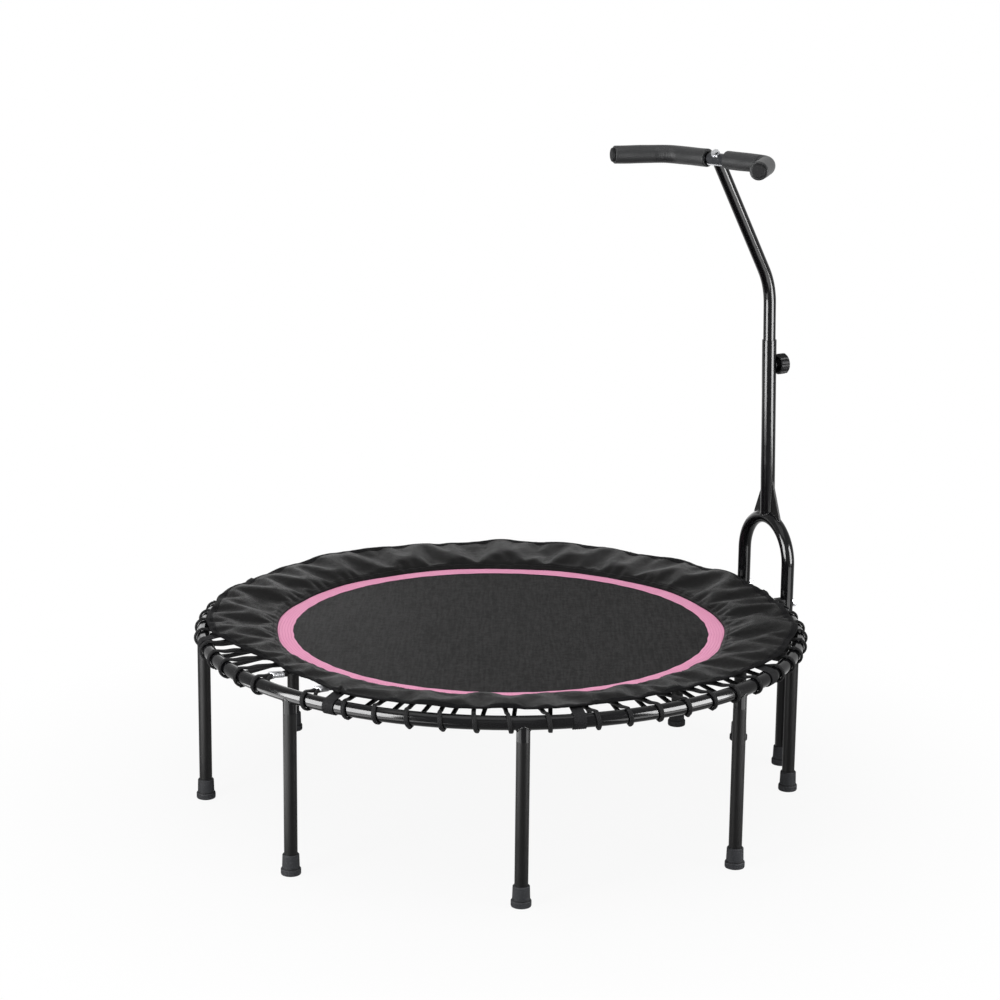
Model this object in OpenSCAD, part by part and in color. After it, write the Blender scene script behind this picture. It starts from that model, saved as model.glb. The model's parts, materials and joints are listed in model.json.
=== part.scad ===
// Mini trampoline: a tube ring on eight legs, a mat laced in with elastic cord,
// a slack cover cloth over the lacing, and a telescopic handle on a fork behind the ring.
// Floor at z = 0, handle side towards +Y, the user faces +Y.

/* [Ring] */
// Outside diameter of the ring
frame_d = 1140; // [1060:10:1220]
// Diameter of the ring's tube
tube_d = 25; // [24.5:0.5:28]
// Wall of the steel tubes
tube_wall = 1.5; // [1:0.1:2.5]
// Height of the ring's centre line above the floor
ring_h = 330; // [280:5:400]
// Length of the spigot inside each of the ring's two joints
spigot_l = 110; // [60:5:160]

/* [Legs] */
// Diameter of a leg's tube
leg_d = 24; // [20:0.5:24]
// How far a leg's welded stub reaches below the ring's centre line
stub_l = 32; // [26:1:50]
// Diameter of the stud that screws a leg to its stub
stud_d = 8; // [6:1:10]
// Length of that stud
stud_l = 16; // [10:1:18]
// Length of the solid plug in a leg's top
plug_l = 14; // [8:1:30]

/* [Feet] */
// Diameter of a rubber foot's base
foot_d = 36; // [32:1:46]
// Diameter of a rubber foot's collar
foot_collar_d = 30; // [28.5:0.5:32]
// Height of a rubber foot
foot_h = 38; // [30:1:50]
// Height of the foot's wide base
foot_base_h = 12; // [8:1:18]
// Rubber below the end of the tube
foot_floor = 6; // [3:0.5:7]

/* [Fork] */
// Distance between the fork's two legs
fork_w = 160; // [140:5:180]
// Diameter of the fork's tube
fork_d = 25; // [22:0.5:26]
// Gap between the ring and the fork's plane
fork_gap = 0.5; // [0.3:0.1:5]
// Height of the fork's crown above the ring, centre line to centre line
crown_rise = 156; // [130:1:200]
// Diameter of the bolt through each fork leg
bolt_d = 8; // [6:1:10]
// Width across flats of the dome nuts
nut_af = 13; // [12:0.5:17]
// Width of the curved spacer between fork leg and ring
spacer_w = 20; // [16:1:24]
// Height of that spacer
spacer_h = 22; // [16:1:24]
// Thickness of the gussets
gusset_t = 4; // [2:0.5:8]
// Reach of a gusset along the fork's shoulder, from the post's axis
gusset_reach = 46; // [36:1:60]
// Height of a gusset along the post, from the crown's centre line
gusset_rise = 74; // [50:1:110]

/* [Post] */
// Diameter of the outer post tube
post_d = 28; // [27.6:0.2:32]
// Wall of the outer post tube
post_wall = 1.6; // [1:0.1:1.6]
// Length of the outer post tube from the crown's centre line
post_l = 354; // [300:2:420]
// Lean of the post towards the mat, in degrees
post_lean = 1.6; // [0:0.1:5]
// Diameter of the inner post tube
inner_d = 24; // [20:0.5:24]
// Length of the inner post tube inside the outer one
insertion = 221; // [150:1:230]
// Length of the nylon glide below the inner post tube
glide_l = 18; // [10:1:24]

/* [Handle] */
// Turn of the handle about the post, in degrees
swivel = 18; // [-30:1:30]
// Height of the stem's bend above the outer post tube
bend_rise = 108; // [100:1:180]
// Angle of the stem's bend
stem_angle = 31; // [15:1:45]
// Centre-line radius of the stem's bend
stem_bend_r = 130; // [60:5:150]
// Length of the stem from its bend's corner to the handlebar's axis
stem_l = 300; // [220:5:360]
// Diameter of the handlebar's tube
bar_d = 22; // [19:0.5:24]
// Handlebar: from its middle to the corner of an arm's bend
bar_half = 124; // [105:1:160]
// Handlebar: from that corner to the end of the arm
bar_arm = 107; // [80:1:140]
// Angle of an arm's bend
bar_bend = 60; // [30:1:70]
// Centre-line radius of an arm's bend
bar_bend_r = 60; // [40:2:70]
// Diameter of the foam grips
grip_d = 34.5; // [30:0.5:40]
// Bare length in the middle of the handlebar
bare_l = 46; // [44:1:60]
// Thickness of the cradle under the handlebar
cradle_t = 2.4; // [1.5:0.1:4]
// Length of the cradle along the handlebar
cradle_l = 36; // [28:1:42]
// Width across flats of the handlebar bolt's head
hex_af = 13; // [12:0.5:16]
// Diameter of the end plugs' caps
plug_d = 27; // [24:0.5:30]

/* [Knob] */
// Diameter of the clamp knob
knob_d = 40; // [32:1:46]
// Height of the clamp knob
knob_h = 18; // [15:0.5:24]
// Wall of the knob's hollow rim
knob_wall = 4.5; // [3.5:0.5:6]
// Thickness of the knob's front disc
knob_web = 7; // [5:0.5:9]
// Distance of the knob's axis below the top of the outer post tube
knob_drop = 50; // [30:1:60]
// Number of grip hollows round the knob
knob_lobes = 10; // [6:1:14]
// Diameter of the clamp screw
screw_d = 8; // [6:1:10]
// Height of the welded boss on the post
boss_l = 4; // [3:0.5:8]

/* [Mat] */
// Diameter of the mat
mat_d = 854; // [820:2:870]
// Thickness of the mat
mat_t = 2; // [1.5:0.1:4]
// Depth of the mat's top below the ring's centre line
mat_drop = 1; // [-4:0.5:8]
// Width of the sewn band round the mat's edge
band_w = 37; // [25:1:60]
// Thickness of the sewn band
band_t = 1; // [0.6:0.1:2]
// Width of a webbing loop under the mat's edge
loop_w = 11.5; // [8:0.5:14]
// Length of webbing sewn under the mat
loop_sew = 22; // [15:1:40]

/* [Cord and cover] */
// Diameter of the elastic cord
cord_d = 8; // [6:0.5:9]
// Length of a metal crimp
crimp_l = 24; // [16:1:28]
// Distance from the ring tube's inner side to the cover's hem, at a strap
cover_gap = 2; // [0:0.5:20]
// Thickness of the cover cloth
cover_t = 1.2; // [0.8:0.1:2]
// Height of the cover cloth's main folds
fold_h = 12; // [4:0.5:16]
// Width of a hold-down strap
strap_w = 22; // [16:1:24]
// Thickness of a hold-down strap
strap_t = 1.8; // [1.2:0.1:2.5]

/* [Hidden] */
$fn = 64;
// Play of parts that seat in each other, and of parts that move past each other
fit = 0.1;
run = 0.3;
// A tube's bend is this much fatter than its straights, which run this far into it
swell = 0.05;
lap = 0.5;

// Ring and legs
ring_r = (frame_d - tube_d) / 2;
tube_r = tube_d / 2;
leg_n = 8;
leg_step = 360 / leg_n;
leg_a0 = 90 - 1.5 * leg_step;
leg_r = leg_d / 2;
leg_top = ring_h - stub_l;
stud_r = stud_d / 2;
// A strap follows each leg by this angle; the ring's joints lie under two of them
strap_a = 9.75;
joint_a = leg_a0 + strap_a - leg_step;

// Fork, bolts and post
fork_r = fork_d / 2;
arch_r = fork_w / 2;
fork_y = frame_d / 2 + fork_r + fork_gap;
crown_z = ring_h + crown_rise;
arch_z = crown_z - arch_r;
bolt_r = bolt_d / 2;
bolt_in = sqrt(pow(ring_r, 2) - pow(arch_r, 2)) - tube_r - 1;
bolt_out = fork_y + fork_r;
post_r = post_d / 2;
bore_r = post_r - post_wall;
cope = 6;
inner_r = inner_d / 2;
tube_z = post_l - insertion;
glide_z = tube_z - glide_l - run;

// Stem and handlebar
bend_z = post_l + bend_rise;
stem_t = stem_bend_r * tan(stem_angle / 2);
bar_r = bar_d / 2;
bar_t = bar_bend_r * tan(bar_bend / 2);
grip_r = grip_d / 2;
cradle_r = bar_r + cradle_t;

// Clamp knob, along its axis from the post's axis outwards
knob_r = knob_d / 2;
knob_z = post_l - knob_drop;
screw_r = screw_d / 2;
pad_y = inner_r + run;
pad_l = 3;
screw_y = pad_y + pad_l + run;
knob_y = post_r + boss_l + run;
screw_in = 0.7 * knob_h;
hub_r = screw_r + 4;
knob_edge = 1;
// Radius and depth of the grip hollows round the knob
lobe_r = 5;
lobe_in = 2;

// Mat and its loops
mat_r = mat_d / 2;
mat_z = ring_h - mat_drop;
// Stitching presses the band this far into the mat
sew_in = 0.3;
band_z = mat_z + band_t - sew_in;
cord_r = cord_d / 2;
web_t = 1.4;
eye_r = cord_r + 0.5;
loop_r = eye_r + 1.3;
loop_rr = mat_r + loop_r + 4.7;
loop_z = mat_z - mat_t + 0.68 * loop_r;
loop_half = deg(loop_w / 2, loop_rr);

// Cord: the wraps' angles in an ordinary bay and in the fork's bay, counted from the bay's first leg
bay_off = concat([4.4], [for (j = [0:5]) strap_a + 3.25 + j * (leg_step - strap_a - 5.65) / 5]);
fork_a = asin(arch_r / fork_y);
bay_mid = leg_step / 2;
fork_off = [4.4, bay_mid - fork_a - 2.2, bay_mid - 3, bay_mid + 3.4,
            bay_mid + fork_a + 2.9, bay_mid + fork_a + 7.8];
wraps_a = concat([for (b = [6:8]) for (o = bay_off) leg_a(b) + o],
                 [for (o = fork_off) leg_a(9) + o]);
wraps_b = concat([for (b = [2:4]) for (o = bay_off) leg_a(b) + o],
                 [for (j = [0:5]) leg_a(5) + bay_off[j]]);
arc_n = 5;
cord_ra = (tube_r + cord_r + 2 * fit) / cos(20);
// The cord leaves the ring along the tangents towards the mat's loops
loop_far = [ring_r - loop_rr, ring_h - loop_z];
loop_dir = 180 + atan2(loop_far[1], loop_far[0]);
arc_top = loop_dir - acos(cord_ra / norm(loop_far));
arc_end = loop_dir + acos(cord_ra / norm(loop_far)) - 360;
run_r0 = loop_rr + 6;
run_r1 = ring_r + cord_ra * cos(arc_top);
run_z1 = ring_h + cord_ra * sin(arc_top);
run_slope = atan2(run_z1 - loop_z, run_r1 - run_r0);
lead = 7;

// Crimped eyes at the cord's ends
crimp_s = cord_r + 0.35;
crimp_r = cord_r + 1.2;
eye_out = ring_r - tube_r - cord_d - 1.5;
crimp_rr = eye_out - 2 - crimp_l / 2;
eye_in = crimp_rr - crimp_l / 2 - 8;
eye_far = [ring_r - eye_out, ring_h - run_height(eye_out)];
arc_eye = 180 + atan2(eye_far[1], eye_far[0]) + acos(min(1, cord_ra / norm(eye_far))) - 360;

// Cover cloth
cover_ri = mat_r - 3;
cover_ro = ring_r - tube_r - cover_gap;
cover_n = 112;
// How far the hem draws in, or hangs out, midway between two straps; the tightest bay shows the crimps
bay_draw = [-8, -8, -9, -8, -8, 46, -6, 13];

// The origin lies under the middle of the object's outline, midway from the ring's front to the knob's face
ring_front = ring_r + cord_ra + cord_r;
knob_rear = fork_y - knob_z * sin(post_lean) + (knob_y + knob_h) * cos(post_lean);
ring_y = -(knob_rear - ring_front) / 2;

// Angles and points round the ring
function deg(arc, r) = arc / r * 180 / PI;
function leg_a(k) = leg_a0 + k * leg_step;
function polar(r, a, z) = [r * cos(a), r * sin(a), z];
function unit(v) = v / norm(v);

// Height of the cord's upper run at a distance from the ring's middle
function run_height(r) = loop_z + (run_z1 - loop_z) * (r - run_r0) / (run_r1 - run_r0);

// One wrap round the ring's tube: in over the top, down the outside and out below
function wrap(a, from, to, n, side) = [for (i = [0:n])
    let (u = i / n, e = from + (to - from) * u)
    polar(ring_r + cord_ra * cos(e), a + deg((2 * u - 1) * side, ring_r), ring_h + cord_ra * sin(e))];

// The cord's way through a loop under the mat's edge, half way between two wraps
function through(m) = [
    polar(run_r0, m - loop_half - 0.7, loop_z),
    polar(loop_rr, m - loop_half - 0.2, loop_z),
    polar(loop_rr, m + loop_half + 0.2, loop_z),
    polar(run_r0, m + loop_half + 0.7, loop_z)];

// An eye round the ring's tube, both strands side by side in a crimp
function strand(a, r, side) = polar(r, a + deg(side * crimp_s, r), run_height(r));
function eye(a) = concat(
    [strand(a, eye_in, -1), strand(a, eye_out, -1)],
    wrap(a, arc_top, arc_eye, 7, crimp_s),
    [strand(a, eye_out, 1), strand(a, eye_in, 1)]);

// The whole route of one cord from its first wrap to its last
function route(w) = let (last = len(w) - 1) [for (i = [0:last]) each concat(
    i == 0 || i == last ? eye(w[i]) : wrap(w[i], arc_top, arc_end, arc_n, lead / 2),
    i == last ? [] : through((w[i] + w[i + 1]) / 2))];

// Sections carried along a route without twist
function tangent(p, i) = unit(p[min(i + 1, len(p) - 1)] - p[max(i - 1, 0)]);
function carry(n, t) = unit(n - t * (n * t));
function normals(p) = [for (i = 0, n = carry([0, 0, 1], tangent(p, 0));
    i < len(p);
    i = i + 1, n = i < len(p) ? carry(n, tangent(p, i)) : n) n];

// Least gap between neighbouring wraps of a cord
function wrap_gap(w) = min([for (i = [0:len(w) - 2]) (w[i + 1] - w[i]) * PI / 180 * ring_r]) - cord_d - lead;

// Slack of the cover cloth: a few long waves and some shorter ones, from 0 to 1
function slack(a) = (2.2 + sin(8 * a + 20) + 0.7 * sin(13 * a + 70) + 0.5 * sin(21 * a + 130)) / 4.4;

// How free the cloth is at an angle: 0 at a strap and 1 midway to the next
function bay_part(a) = (a - leg_a0 - strap_a) / leg_step;
function free(a) = abs(sin(180 * bay_part(a)));
function hem_r(a) = cover_ro - bay_draw[(floor(bay_part(a) + 0.001) + leg_n) % leg_n] * free(a);

// Height at which the cloth lies on the lacing, and its points from the mat's edge out to the hem
function lying(r) = run_height(r) + crimp_r + fit;
function cover_rows(a) = let (ro = hem_r(a), r1 = loop_rr + 4, z1 = loop_z + loop_r + 0.7,
        r2 = r1 + 0.4 * (ro - r1), r3 = r1 + 0.75 * (ro - r1), f = free(a)) [
    [cover_ri + 4 * sin(11 * a + 40) * slack(a), z1 + 1 + 0.25 * fold_h * slack(a + 15)],
    [r1, z1 + fold_h * (0.35 + 0.45 * slack(a + 25))],
    [r2, lying(r2) + fold_h * (0.25 + 0.75 * slack(a))],
    [r3, lying(r3) + fold_h * (0.15 + 0.6 * slack(a + 9)) * (0.4 + 0.6 * f)],
    [ro, lying(ro) + fold_h * (0.1 + 0.4 * slack(a + 20)) * f]];

// Places
module at_ring() translate([0, ring_y, 0]) children();
module at_leg(k) at_ring() rotate([0, 0, leg_a(k)]) translate([ring_r, 0, 0]) children();
module at_fork(side) at_ring() translate([side * arch_r, fork_y, 0]) children();
module at_bolt(side, y) at_ring() translate([side * arch_r, y, ring_h]) rotate([-90, 0, 0]) children();
module at_post() at_ring() translate([0, fork_y, crown_z]) rotate([post_lean, 0, 0]) children();
module at_knob(y) at_post() translate([0, 0, knob_z]) rotate([-90, 0, 0]) translate([0, 0, y]) children();
module at_handle() at_post() rotate([0, 0, swivel]) children();
module at_bar() at_handle() translate([0, 0, bend_z]) rotate([stem_angle, 0, 0])
    translate([0, 0, stem_l]) children();
module at_level_bar() at_bar() rotate([-stem_angle - post_lean, 0, 0]) children();
module at_arm_end(side) at_level_bar() mirror([side < 0 ? 1 : 0, 0, 0]) translate([bar_half, 0, 0])
    rotate([0, 0, -bar_bend]) translate([bar_arm, 0, 0]) rotate([0, 90, 0]) children();

// A faceted tube along a route
module swept_tube(p, r, sides) {
    n = normals(p);
    pts = [for (i = [0:len(p) - 1]) let (t = tangent(p, i), b = cross(t, n[i]))
        for (j = [0:sides - 1]) p[i] + r * (cos(j * 360 / sides) * n[i] + sin(j * 360 / sides) * b)];
    last = (len(p) - 1) * sides;
    walls = [for (i = [0:len(p) - 2]) for (j = [0:sides - 1])
        let (a = i * sides + j, b = i * sides + (j + 1) % sides)
        each [[a, a + sides, b + sides], [a, b + sides, b]]];
    caps = [for (j = [1:sides - 2]) each [[0, j, j + 1], [last, last + j + 1, last + j]]];
    polyhedron(points = pts, faces = concat(walls, caps));
}

// A tube's bend about the Z axis
module bend(bend_r, angle, r) rotate_extrude(angle = angle) translate([bend_r, 0]) circle(r + swell);

// Ring
module half_tube(r, over) rotate([0, 0, -over]) rotate_extrude(angle = 180 + 2 * over, $fn = 256)
    translate([ring_r, ring_h]) rotate(45) circle(r, $fn = 64);

module ring_half(a, legs) {
    difference() {
        union() {
            at_ring() rotate([0, 0, a]) half_tube(tube_r, 0);
            for (k = legs) at_leg(k) translate([0, 0, leg_top]) cylinder(r = leg_r, h = stub_l);
        }
        at_ring() rotate([0, 0, a]) half_tube(tube_r - tube_wall, 2);
        for (k = legs) at_leg(k) translate([0, 0, leg_top - 1]) cylinder(r = stud_r + fit, h = stud_l + 2);
        children();
    }
}

module ring_rear() color("#0d0d0f") ring_half(joint_a, [0:3])
    for (s = [-1, 1]) at_bolt(s, bolt_in - 20) cylinder(r = bolt_r + fit, h = 80);

module ring_front() color("#0d0d0f") ring_half(joint_a + 180, [4:7]);

module ring_spigot(a) color("#55575a") at_ring() rotate([0, 0, a - deg(spigot_l / 2, ring_r)])
    rotate_extrude(angle = deg(spigot_l, ring_r), $fn = 512) translate([ring_r, ring_h]) difference() {
        circle(tube_r - tube_wall - fit, $fn = 64);
        circle(tube_r - tube_wall - fit - 1.5, $fn = 64);
    }

// Legs and feet
module leg(k) color("#141416") at_leg(k) rotate_extrude() polygon([
    [leg_r - tube_wall, foot_floor], [leg_r, foot_floor], [leg_r, leg_top], [stud_r, leg_top],
    [stud_r, leg_top + stud_l], [0, leg_top + stud_l], [0, leg_top - plug_l],
    [leg_r - tube_wall, leg_top - plug_l]]);

module foot_shape(r) color("#232325") rotate_extrude() polygon([
    [0, 0], [foot_d / 2 - 2.4, 0], [foot_d / 2 - 0.7, 0.7], [foot_d / 2, 2.4],
    [foot_d / 2, foot_base_h - 2], [foot_d / 2 - 0.6, foot_base_h - 0.6], [foot_d / 2 - 2, foot_base_h],
    [foot_collar_d / 2 + 0.7, foot_base_h + 0.6], [foot_collar_d / 2, foot_h - 1.5],
    [foot_collar_d / 2 - 1.2, foot_h], [r + fit, foot_h], [r + fit, foot_floor], [0, foot_floor]]);

module foot(k) at_leg(k) foot_shape(leg_r);

// Fork
module arch(r) at_ring() translate([0, fork_y, arch_z]) rotate([90, 0, 0]) bend(arch_r, 180, r);

module fork_solid(r, low) {
    for (s = [-1, 1]) at_fork(s) translate([0, 0, low]) cylinder(r = r, h = arch_z - low + lap);
    arch(r);
}

module fork() color("#0d0d0f") difference() {
    fork_solid(fork_r, foot_floor);
    fork_solid(fork_r - tube_wall, foot_floor - 1);
    for (s = [-1, 1]) at_bolt(s, fork_y - fork_d) cylinder(r = bolt_r + fit, h = 2 * fork_d);
}

module fork_foot(side) at_fork(side) foot_shape(fork_r);

module fork_spacer(side) color("#1b1b1d") difference() {
    at_ring() translate([side * arch_r - spacer_w / 2, ring_r - tube_r, ring_h - spacer_h / 2])
        cube([spacer_w, fork_y - ring_r + tube_r - fork_r * 0.7, spacer_h]);
    at_ring() rotate_extrude($fn = 512) translate([ring_r, ring_h]) circle(tube_r + fit, $fn = 64);
    at_ring() translate([0, 0, ring_h - spacer_h]) cylinder(r = ring_r, h = 2 * spacer_h, $fn = 512);
    at_fork(side) translate([0, 0, ring_h - spacer_h]) cylinder(r = fork_r + fit, h = 2 * spacer_h);
    at_bolt(side, ring_r - fork_d) cylinder(r = bolt_r + fit, h = 4 * fork_d);
}

module fork_bolt(side) color("#8d8f92") at_bolt(side, bolt_in) rotate_extrude() polygon([
    [0, -4.5], [3.6, -4.5], [6, -3], [7, 0], [bolt_r, 0],
    [bolt_r, bolt_out - bolt_in + 6], [0, bolt_out - bolt_in + 6]]);

module fork_nut(side) color("#a4a6a9") at_bolt(side, bolt_out + fit) difference() {
    union() {
        cylinder(r = nut_af / sqrt(3), h = 6, $fn = 6);
        rotate_extrude() polygon(concat([[0, 5]], [for (e = [0:15:90])
            [(nut_af / 2 - 0.6) * cos(e), 5 + (nut_af / 2 - 1) * sin(e)]]));
    }
    translate([0, 0, -1]) cylinder(r = bolt_r + fit, h = 7.2);
}

module gusset(side) color("#0d0d0f") difference() {
    at_ring() translate([0, fork_y + gusset_t / 2, crown_z]) rotate([90, 0, 0]) linear_extrude(gusset_t)
        polygon([[0, 0], [side * gusset_reach, -arch_r * 0.1], [side * gusset_reach, 4],
                 [side * (post_r + 1), gusset_rise], [0, gusset_rise]]);
    arch(fork_r + fit);
    at_post() translate([0, 0, -fork_d]) cylinder(r = post_r + fit, h = 2 * gusset_rise + fork_d);
}

// Post and clamp
module post_sleeve() color("#0d0d0f") difference() {
    at_post() translate([0, 0, cope]) cylinder(r = post_r, h = post_l - cope);
    arch(fork_r + fit);
    at_post() translate([0, 0, -1]) cylinder(r = bore_r, h = post_l + 2);
    at_knob(0) cylinder(r = screw_r + run, h = post_d);
}

module clamp_boss() color("#0d0d0f") difference() {
    at_knob(post_r / 2) cylinder(r = screw_r + 4, h = post_r / 2 + boss_l);
    at_post() translate([0, 0, knob_z - 2 * knob_d]) cylinder(r = post_r + fit, h = 4 * knob_d);
    at_knob(0) cylinder(r = screw_r + run, h = post_d);
}

module clamp_pad() color("#d8d4c4") at_knob(pad_y) cylinder(r = screw_r - fit, h = pad_l);

module knob_screw() color("#9a9ca0") at_knob(screw_y)
    cylinder(r = screw_r, h = knob_y + screw_in - screw_y);

module knob() color("#161618") at_knob(knob_y) difference() {
    rotate_extrude() polygon([
        [screw_r + fit, 0], [hub_r, 0], [hub_r, knob_h - knob_web], [knob_r - knob_wall, knob_h - knob_web],
        [knob_r - knob_wall, 0], [knob_r - knob_edge, 0], [knob_r, knob_edge], [knob_r, knob_h - 2 * knob_edge],
        [knob_r - 2 * knob_edge, knob_h], [knob_r - knob_wall, knob_h],
        [knob_r - knob_wall - knob_edge, knob_h - knob_edge], [0, knob_h - knob_edge],
        [0, screw_in], [screw_r + fit, screw_in]]);
    for (i = [0:knob_lobes - 1]) rotate([0, 0, i * 360 / knob_lobes])
        translate([knob_r + lobe_r - lobe_in, 0, -1]) cylinder(r = lobe_r, h = knob_h + 2);
}

// Inner post with its glide, bent into the stem
module post_glide() color("#e4e2da") at_post() rotate_extrude() polygon([
    [0, glide_z], [bore_r - run, glide_z], [bore_r - run, glide_z + glide_l],
    [inner_r - tube_wall - run, glide_z + glide_l], [inner_r - tube_wall - run, glide_z + 2 * glide_l],
    [0, glide_z + 2 * glide_l]]);

module stem_solid(r, low, cut) at_handle() {
    translate([0, 0, low]) cylinder(r = r, h = bend_z - stem_t - low + lap);
    translate([0, -stem_bend_r, bend_z - stem_t]) rotate([90, 0, 90]) bend(stem_bend_r, stem_angle, r);
    translate([0, 0, bend_z]) rotate([stem_angle, 0, 0]) translate([0, 0, stem_t - lap])
        cylinder(r = r, h = stem_l - stem_t - cut + lap);
}

module stem() color("#0d0d0f") difference() {
    stem_solid(inner_r, tube_z, cradle_r / 2);
    stem_solid(inner_r - tube_wall, tube_z - 1, 4 * cradle_r);
    at_bar() rotate([0, 90, 0]) cylinder(r = cradle_r + fit, h = 3 * inner_d, center = true);
    at_bar() translate([0, 0, -3 * cradle_r]) cylinder(r = bolt_r + fit, h = 3 * cradle_r);
}

module bar_cradle() color("#b9bbbe") at_bar() difference() {
    rotate([0, 90, 0]) cylinder(r = cradle_r, h = cradle_l, center = true);
    rotate([0, 90, 0]) cylinder(r = bar_r + fit, h = cradle_l + 2, center = true);
    translate([-cradle_l, -bar_d, -bar_r / 4]) cube([2 * cradle_l, 2 * bar_d, 2 * bar_d]);
    translate([0, 0, -2 * cradle_r]) cylinder(r = bolt_r + fit, h = 2 * cradle_r);
}

module bar_side(side, r, from, over) mirror([side < 0 ? 1 : 0, 0, 0]) {
    if (from < bar_half - bar_t) translate([from, 0, 0]) rotate([0, 90, 0])
        cylinder(r = r, h = bar_half - bar_t - from + lap);
    translate([bar_half - bar_t, -bar_bend_r, 0]) rotate([0, 0, 90 - bar_bend]) bend(bar_bend_r, bar_bend, r);
    translate([bar_half, 0, 0]) rotate([0, 0, -bar_bend]) translate([bar_t - lap, 0, 0]) rotate([0, 90, 0])
        cylinder(r = r, h = bar_arm - bar_t + over + lap);
}

module bar_solid(r, over) {
    rotate([0, 90, 0]) cylinder(r = r, h = 2 * (bar_half - bar_t + lap), center = true);
    for (s = [-1, 1]) bar_side(s, r, bar_half, over);
}

module handlebar() color("#2b2c2f") difference() {
    at_level_bar() bar_solid(bar_r, 0);
    at_level_bar() bar_solid(bar_r - tube_wall, 1);
    at_bar() translate([0, 0, -bar_d]) cylinder(r = bolt_r + fit, h = 2 * bar_d);
}

module bar_bolt() color("#c9cbce") at_bar() {
    difference() {
        translate([0, 0, bar_r - 1.4]) union() {
            cylinder(r = hex_af / 2 + 2, h = 2.6);
            cylinder(r = hex_af / sqrt(3), h = 8, $fn = 6);
        }
        rotate([0, 90, 0]) cylinder(r = bar_r + fit, h = 4 * hex_af, center = true);
        translate([0, 0, -bar_d]) cylinder(r = bolt_r, h = bar_d + bar_r + 1.5);
    }
    translate([0, 0, -2.6 * cradle_r]) cylinder(r = bolt_r, h = 2.6 * cradle_r + bar_r + 1.5);
}

module grip(side) color("#3a3b3d") at_level_bar() difference() {
    bar_side(side, grip_r, bare_l / 2, 0);
    bar_side(side, bar_r + fit, bare_l / 2 - 1, 1);
}

module bar_plug(side) color("#1a1a1c") at_arm_end(side) rotate_extrude() polygon([
    [0, -12], [bar_r - tube_wall - fit, -12], [bar_r - tube_wall - fit, 0], [plug_d / 2, 0],
    [plug_d / 2, 2.5], [plug_d / 2 - 0.8, 4.2], [plug_d / 2 - 2.6, 5], [0, 5]]);

// Mat
module mat_panel() color("#3c3d40") at_ring() rotate_extrude($fn = 256) polygon([
    [0, mat_z - mat_t], [mat_r, mat_z - mat_t], [mat_r, mat_z - sew_in],
    [mat_r - band_w - fit, mat_z - sew_in], [mat_r - band_w - fit, mat_z], [0, mat_z]]);

module mat_band() color("#eb9abd") at_ring() rotate_extrude($fn = 256)
    translate([mat_r - band_w, mat_z - sew_in]) square([band_w, band_t]);

module mat_loops() color("#1d1d20") at_ring() for (w = [wraps_a, wraps_b]) for (i = [0:len(w) - 2])
    rotate([0, 0, (w[i] + w[i + 1]) / 2 - loop_half]) rotate_extrude(angle = 2 * loop_half) difference() {
        union() {
            translate([loop_rr, loop_z]) circle(loop_r);
            translate([mat_r - loop_sew, mat_z - mat_t - web_t])
                square([loop_rr - mat_r + loop_sew - 0.52 * loop_r, web_t]);
        }
        translate([loop_rr, loop_z]) circle(eye_r);
    }

// Cord, crimps and cover
module cord_a() color("#121214") at_ring() swept_tube(route(wraps_a), cord_r, 6);

module cord_b() color("#121214") at_ring() swept_tube(route(wraps_b), cord_r, 6);

module crimp(a) at_ring() rotate([0, 0, a]) translate([crimp_rr, 0, run_height(crimp_rr)])
    rotate([0, 90 - run_slope, 0]) difference() {
        union() {
            for (s = [-1, 1]) translate([0, s * crimp_s, 0])
                cylinder(r = crimp_r, h = crimp_l, center = true);
            cube([2 * crimp_r - 1, 2 * crimp_s, crimp_l], center = true);
        }
        for (s = [-1, 1]) translate([0, s * crimp_s, 0])
            cylinder(r = cord_r + fit, h = crimp_l + 2, center = true);
    }

module cord_crimps() color("#b4b6b9") for (w = [wraps_a, wraps_b]) {
    crimp(w[0]);
    crimp(w[len(w) - 1]);
}

module cover() {
    rows = 5;
    turns = [for (i = [0:cover_n - 1]) leg_a0 + strap_a + i * 360 / cover_n];
    pts = [for (up = [0, cover_t]) for (a = turns) for (p = cover_rows(a)) polar(p[0], a, p[1] + up)];
    top = cover_n * rows;
    quads = [for (i = [0:cover_n - 1]) let (a = i * rows, b = ((i + 1) % cover_n) * rows) each concat(
        [for (k = [0:rows - 2]) each [[a + k, a + k + 1, b + k + 1, b + k],
            [top + a + k, top + b + k, top + b + k + 1, top + a + k + 1]]],
        [[a, b, top + b, top + a], [a + rows - 1, top + a + rows - 1, top + b + rows - 1, b + rows - 1]])];
    tris = [for (q = quads) each [[q[0], q[1], q[2]], [q[0], q[2], q[3]]]];
    color("#1c1c1e") at_ring() polyhedron(points = pts, faces = tris);
}

// A strap goes round the ring and ends flat under the cover's hem
module cover_strap(k) at_ring() rotate([0, 0, leg_a(k) + strap_a - deg(strap_w / 2, ring_r)])
    rotate_extrude(angle = deg(strap_w, ring_r)) difference() {
        r_a = cover_ro - 24;
        r_b = cover_ro - 8;
        top = ring_h + tube_r + 2 * fit + strap_t;
        union() {
            translate([ring_r, ring_h]) circle(tube_r + 2 * fit + strap_t);
            polygon([[r_a, lying(r_a) - run - strap_t], [r_b, lying(r_b) - run - strap_t],
                [ring_r - 5, top - strap_t + 0.1], [ring_r - 1, top - 0.1],
                [r_b, lying(r_b) - run], [r_a, lying(r_a) - run]]);
        }
        translate([ring_r, ring_h]) circle(tube_r + 2 * fit);
    }

module cover_straps() color("#17171a") for (k = [0:leg_n - 1]) cover_strap(k);

echo(least_gap_between_wraps = min(wrap_gap(wraps_a), wrap_gap(wraps_b)));

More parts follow.
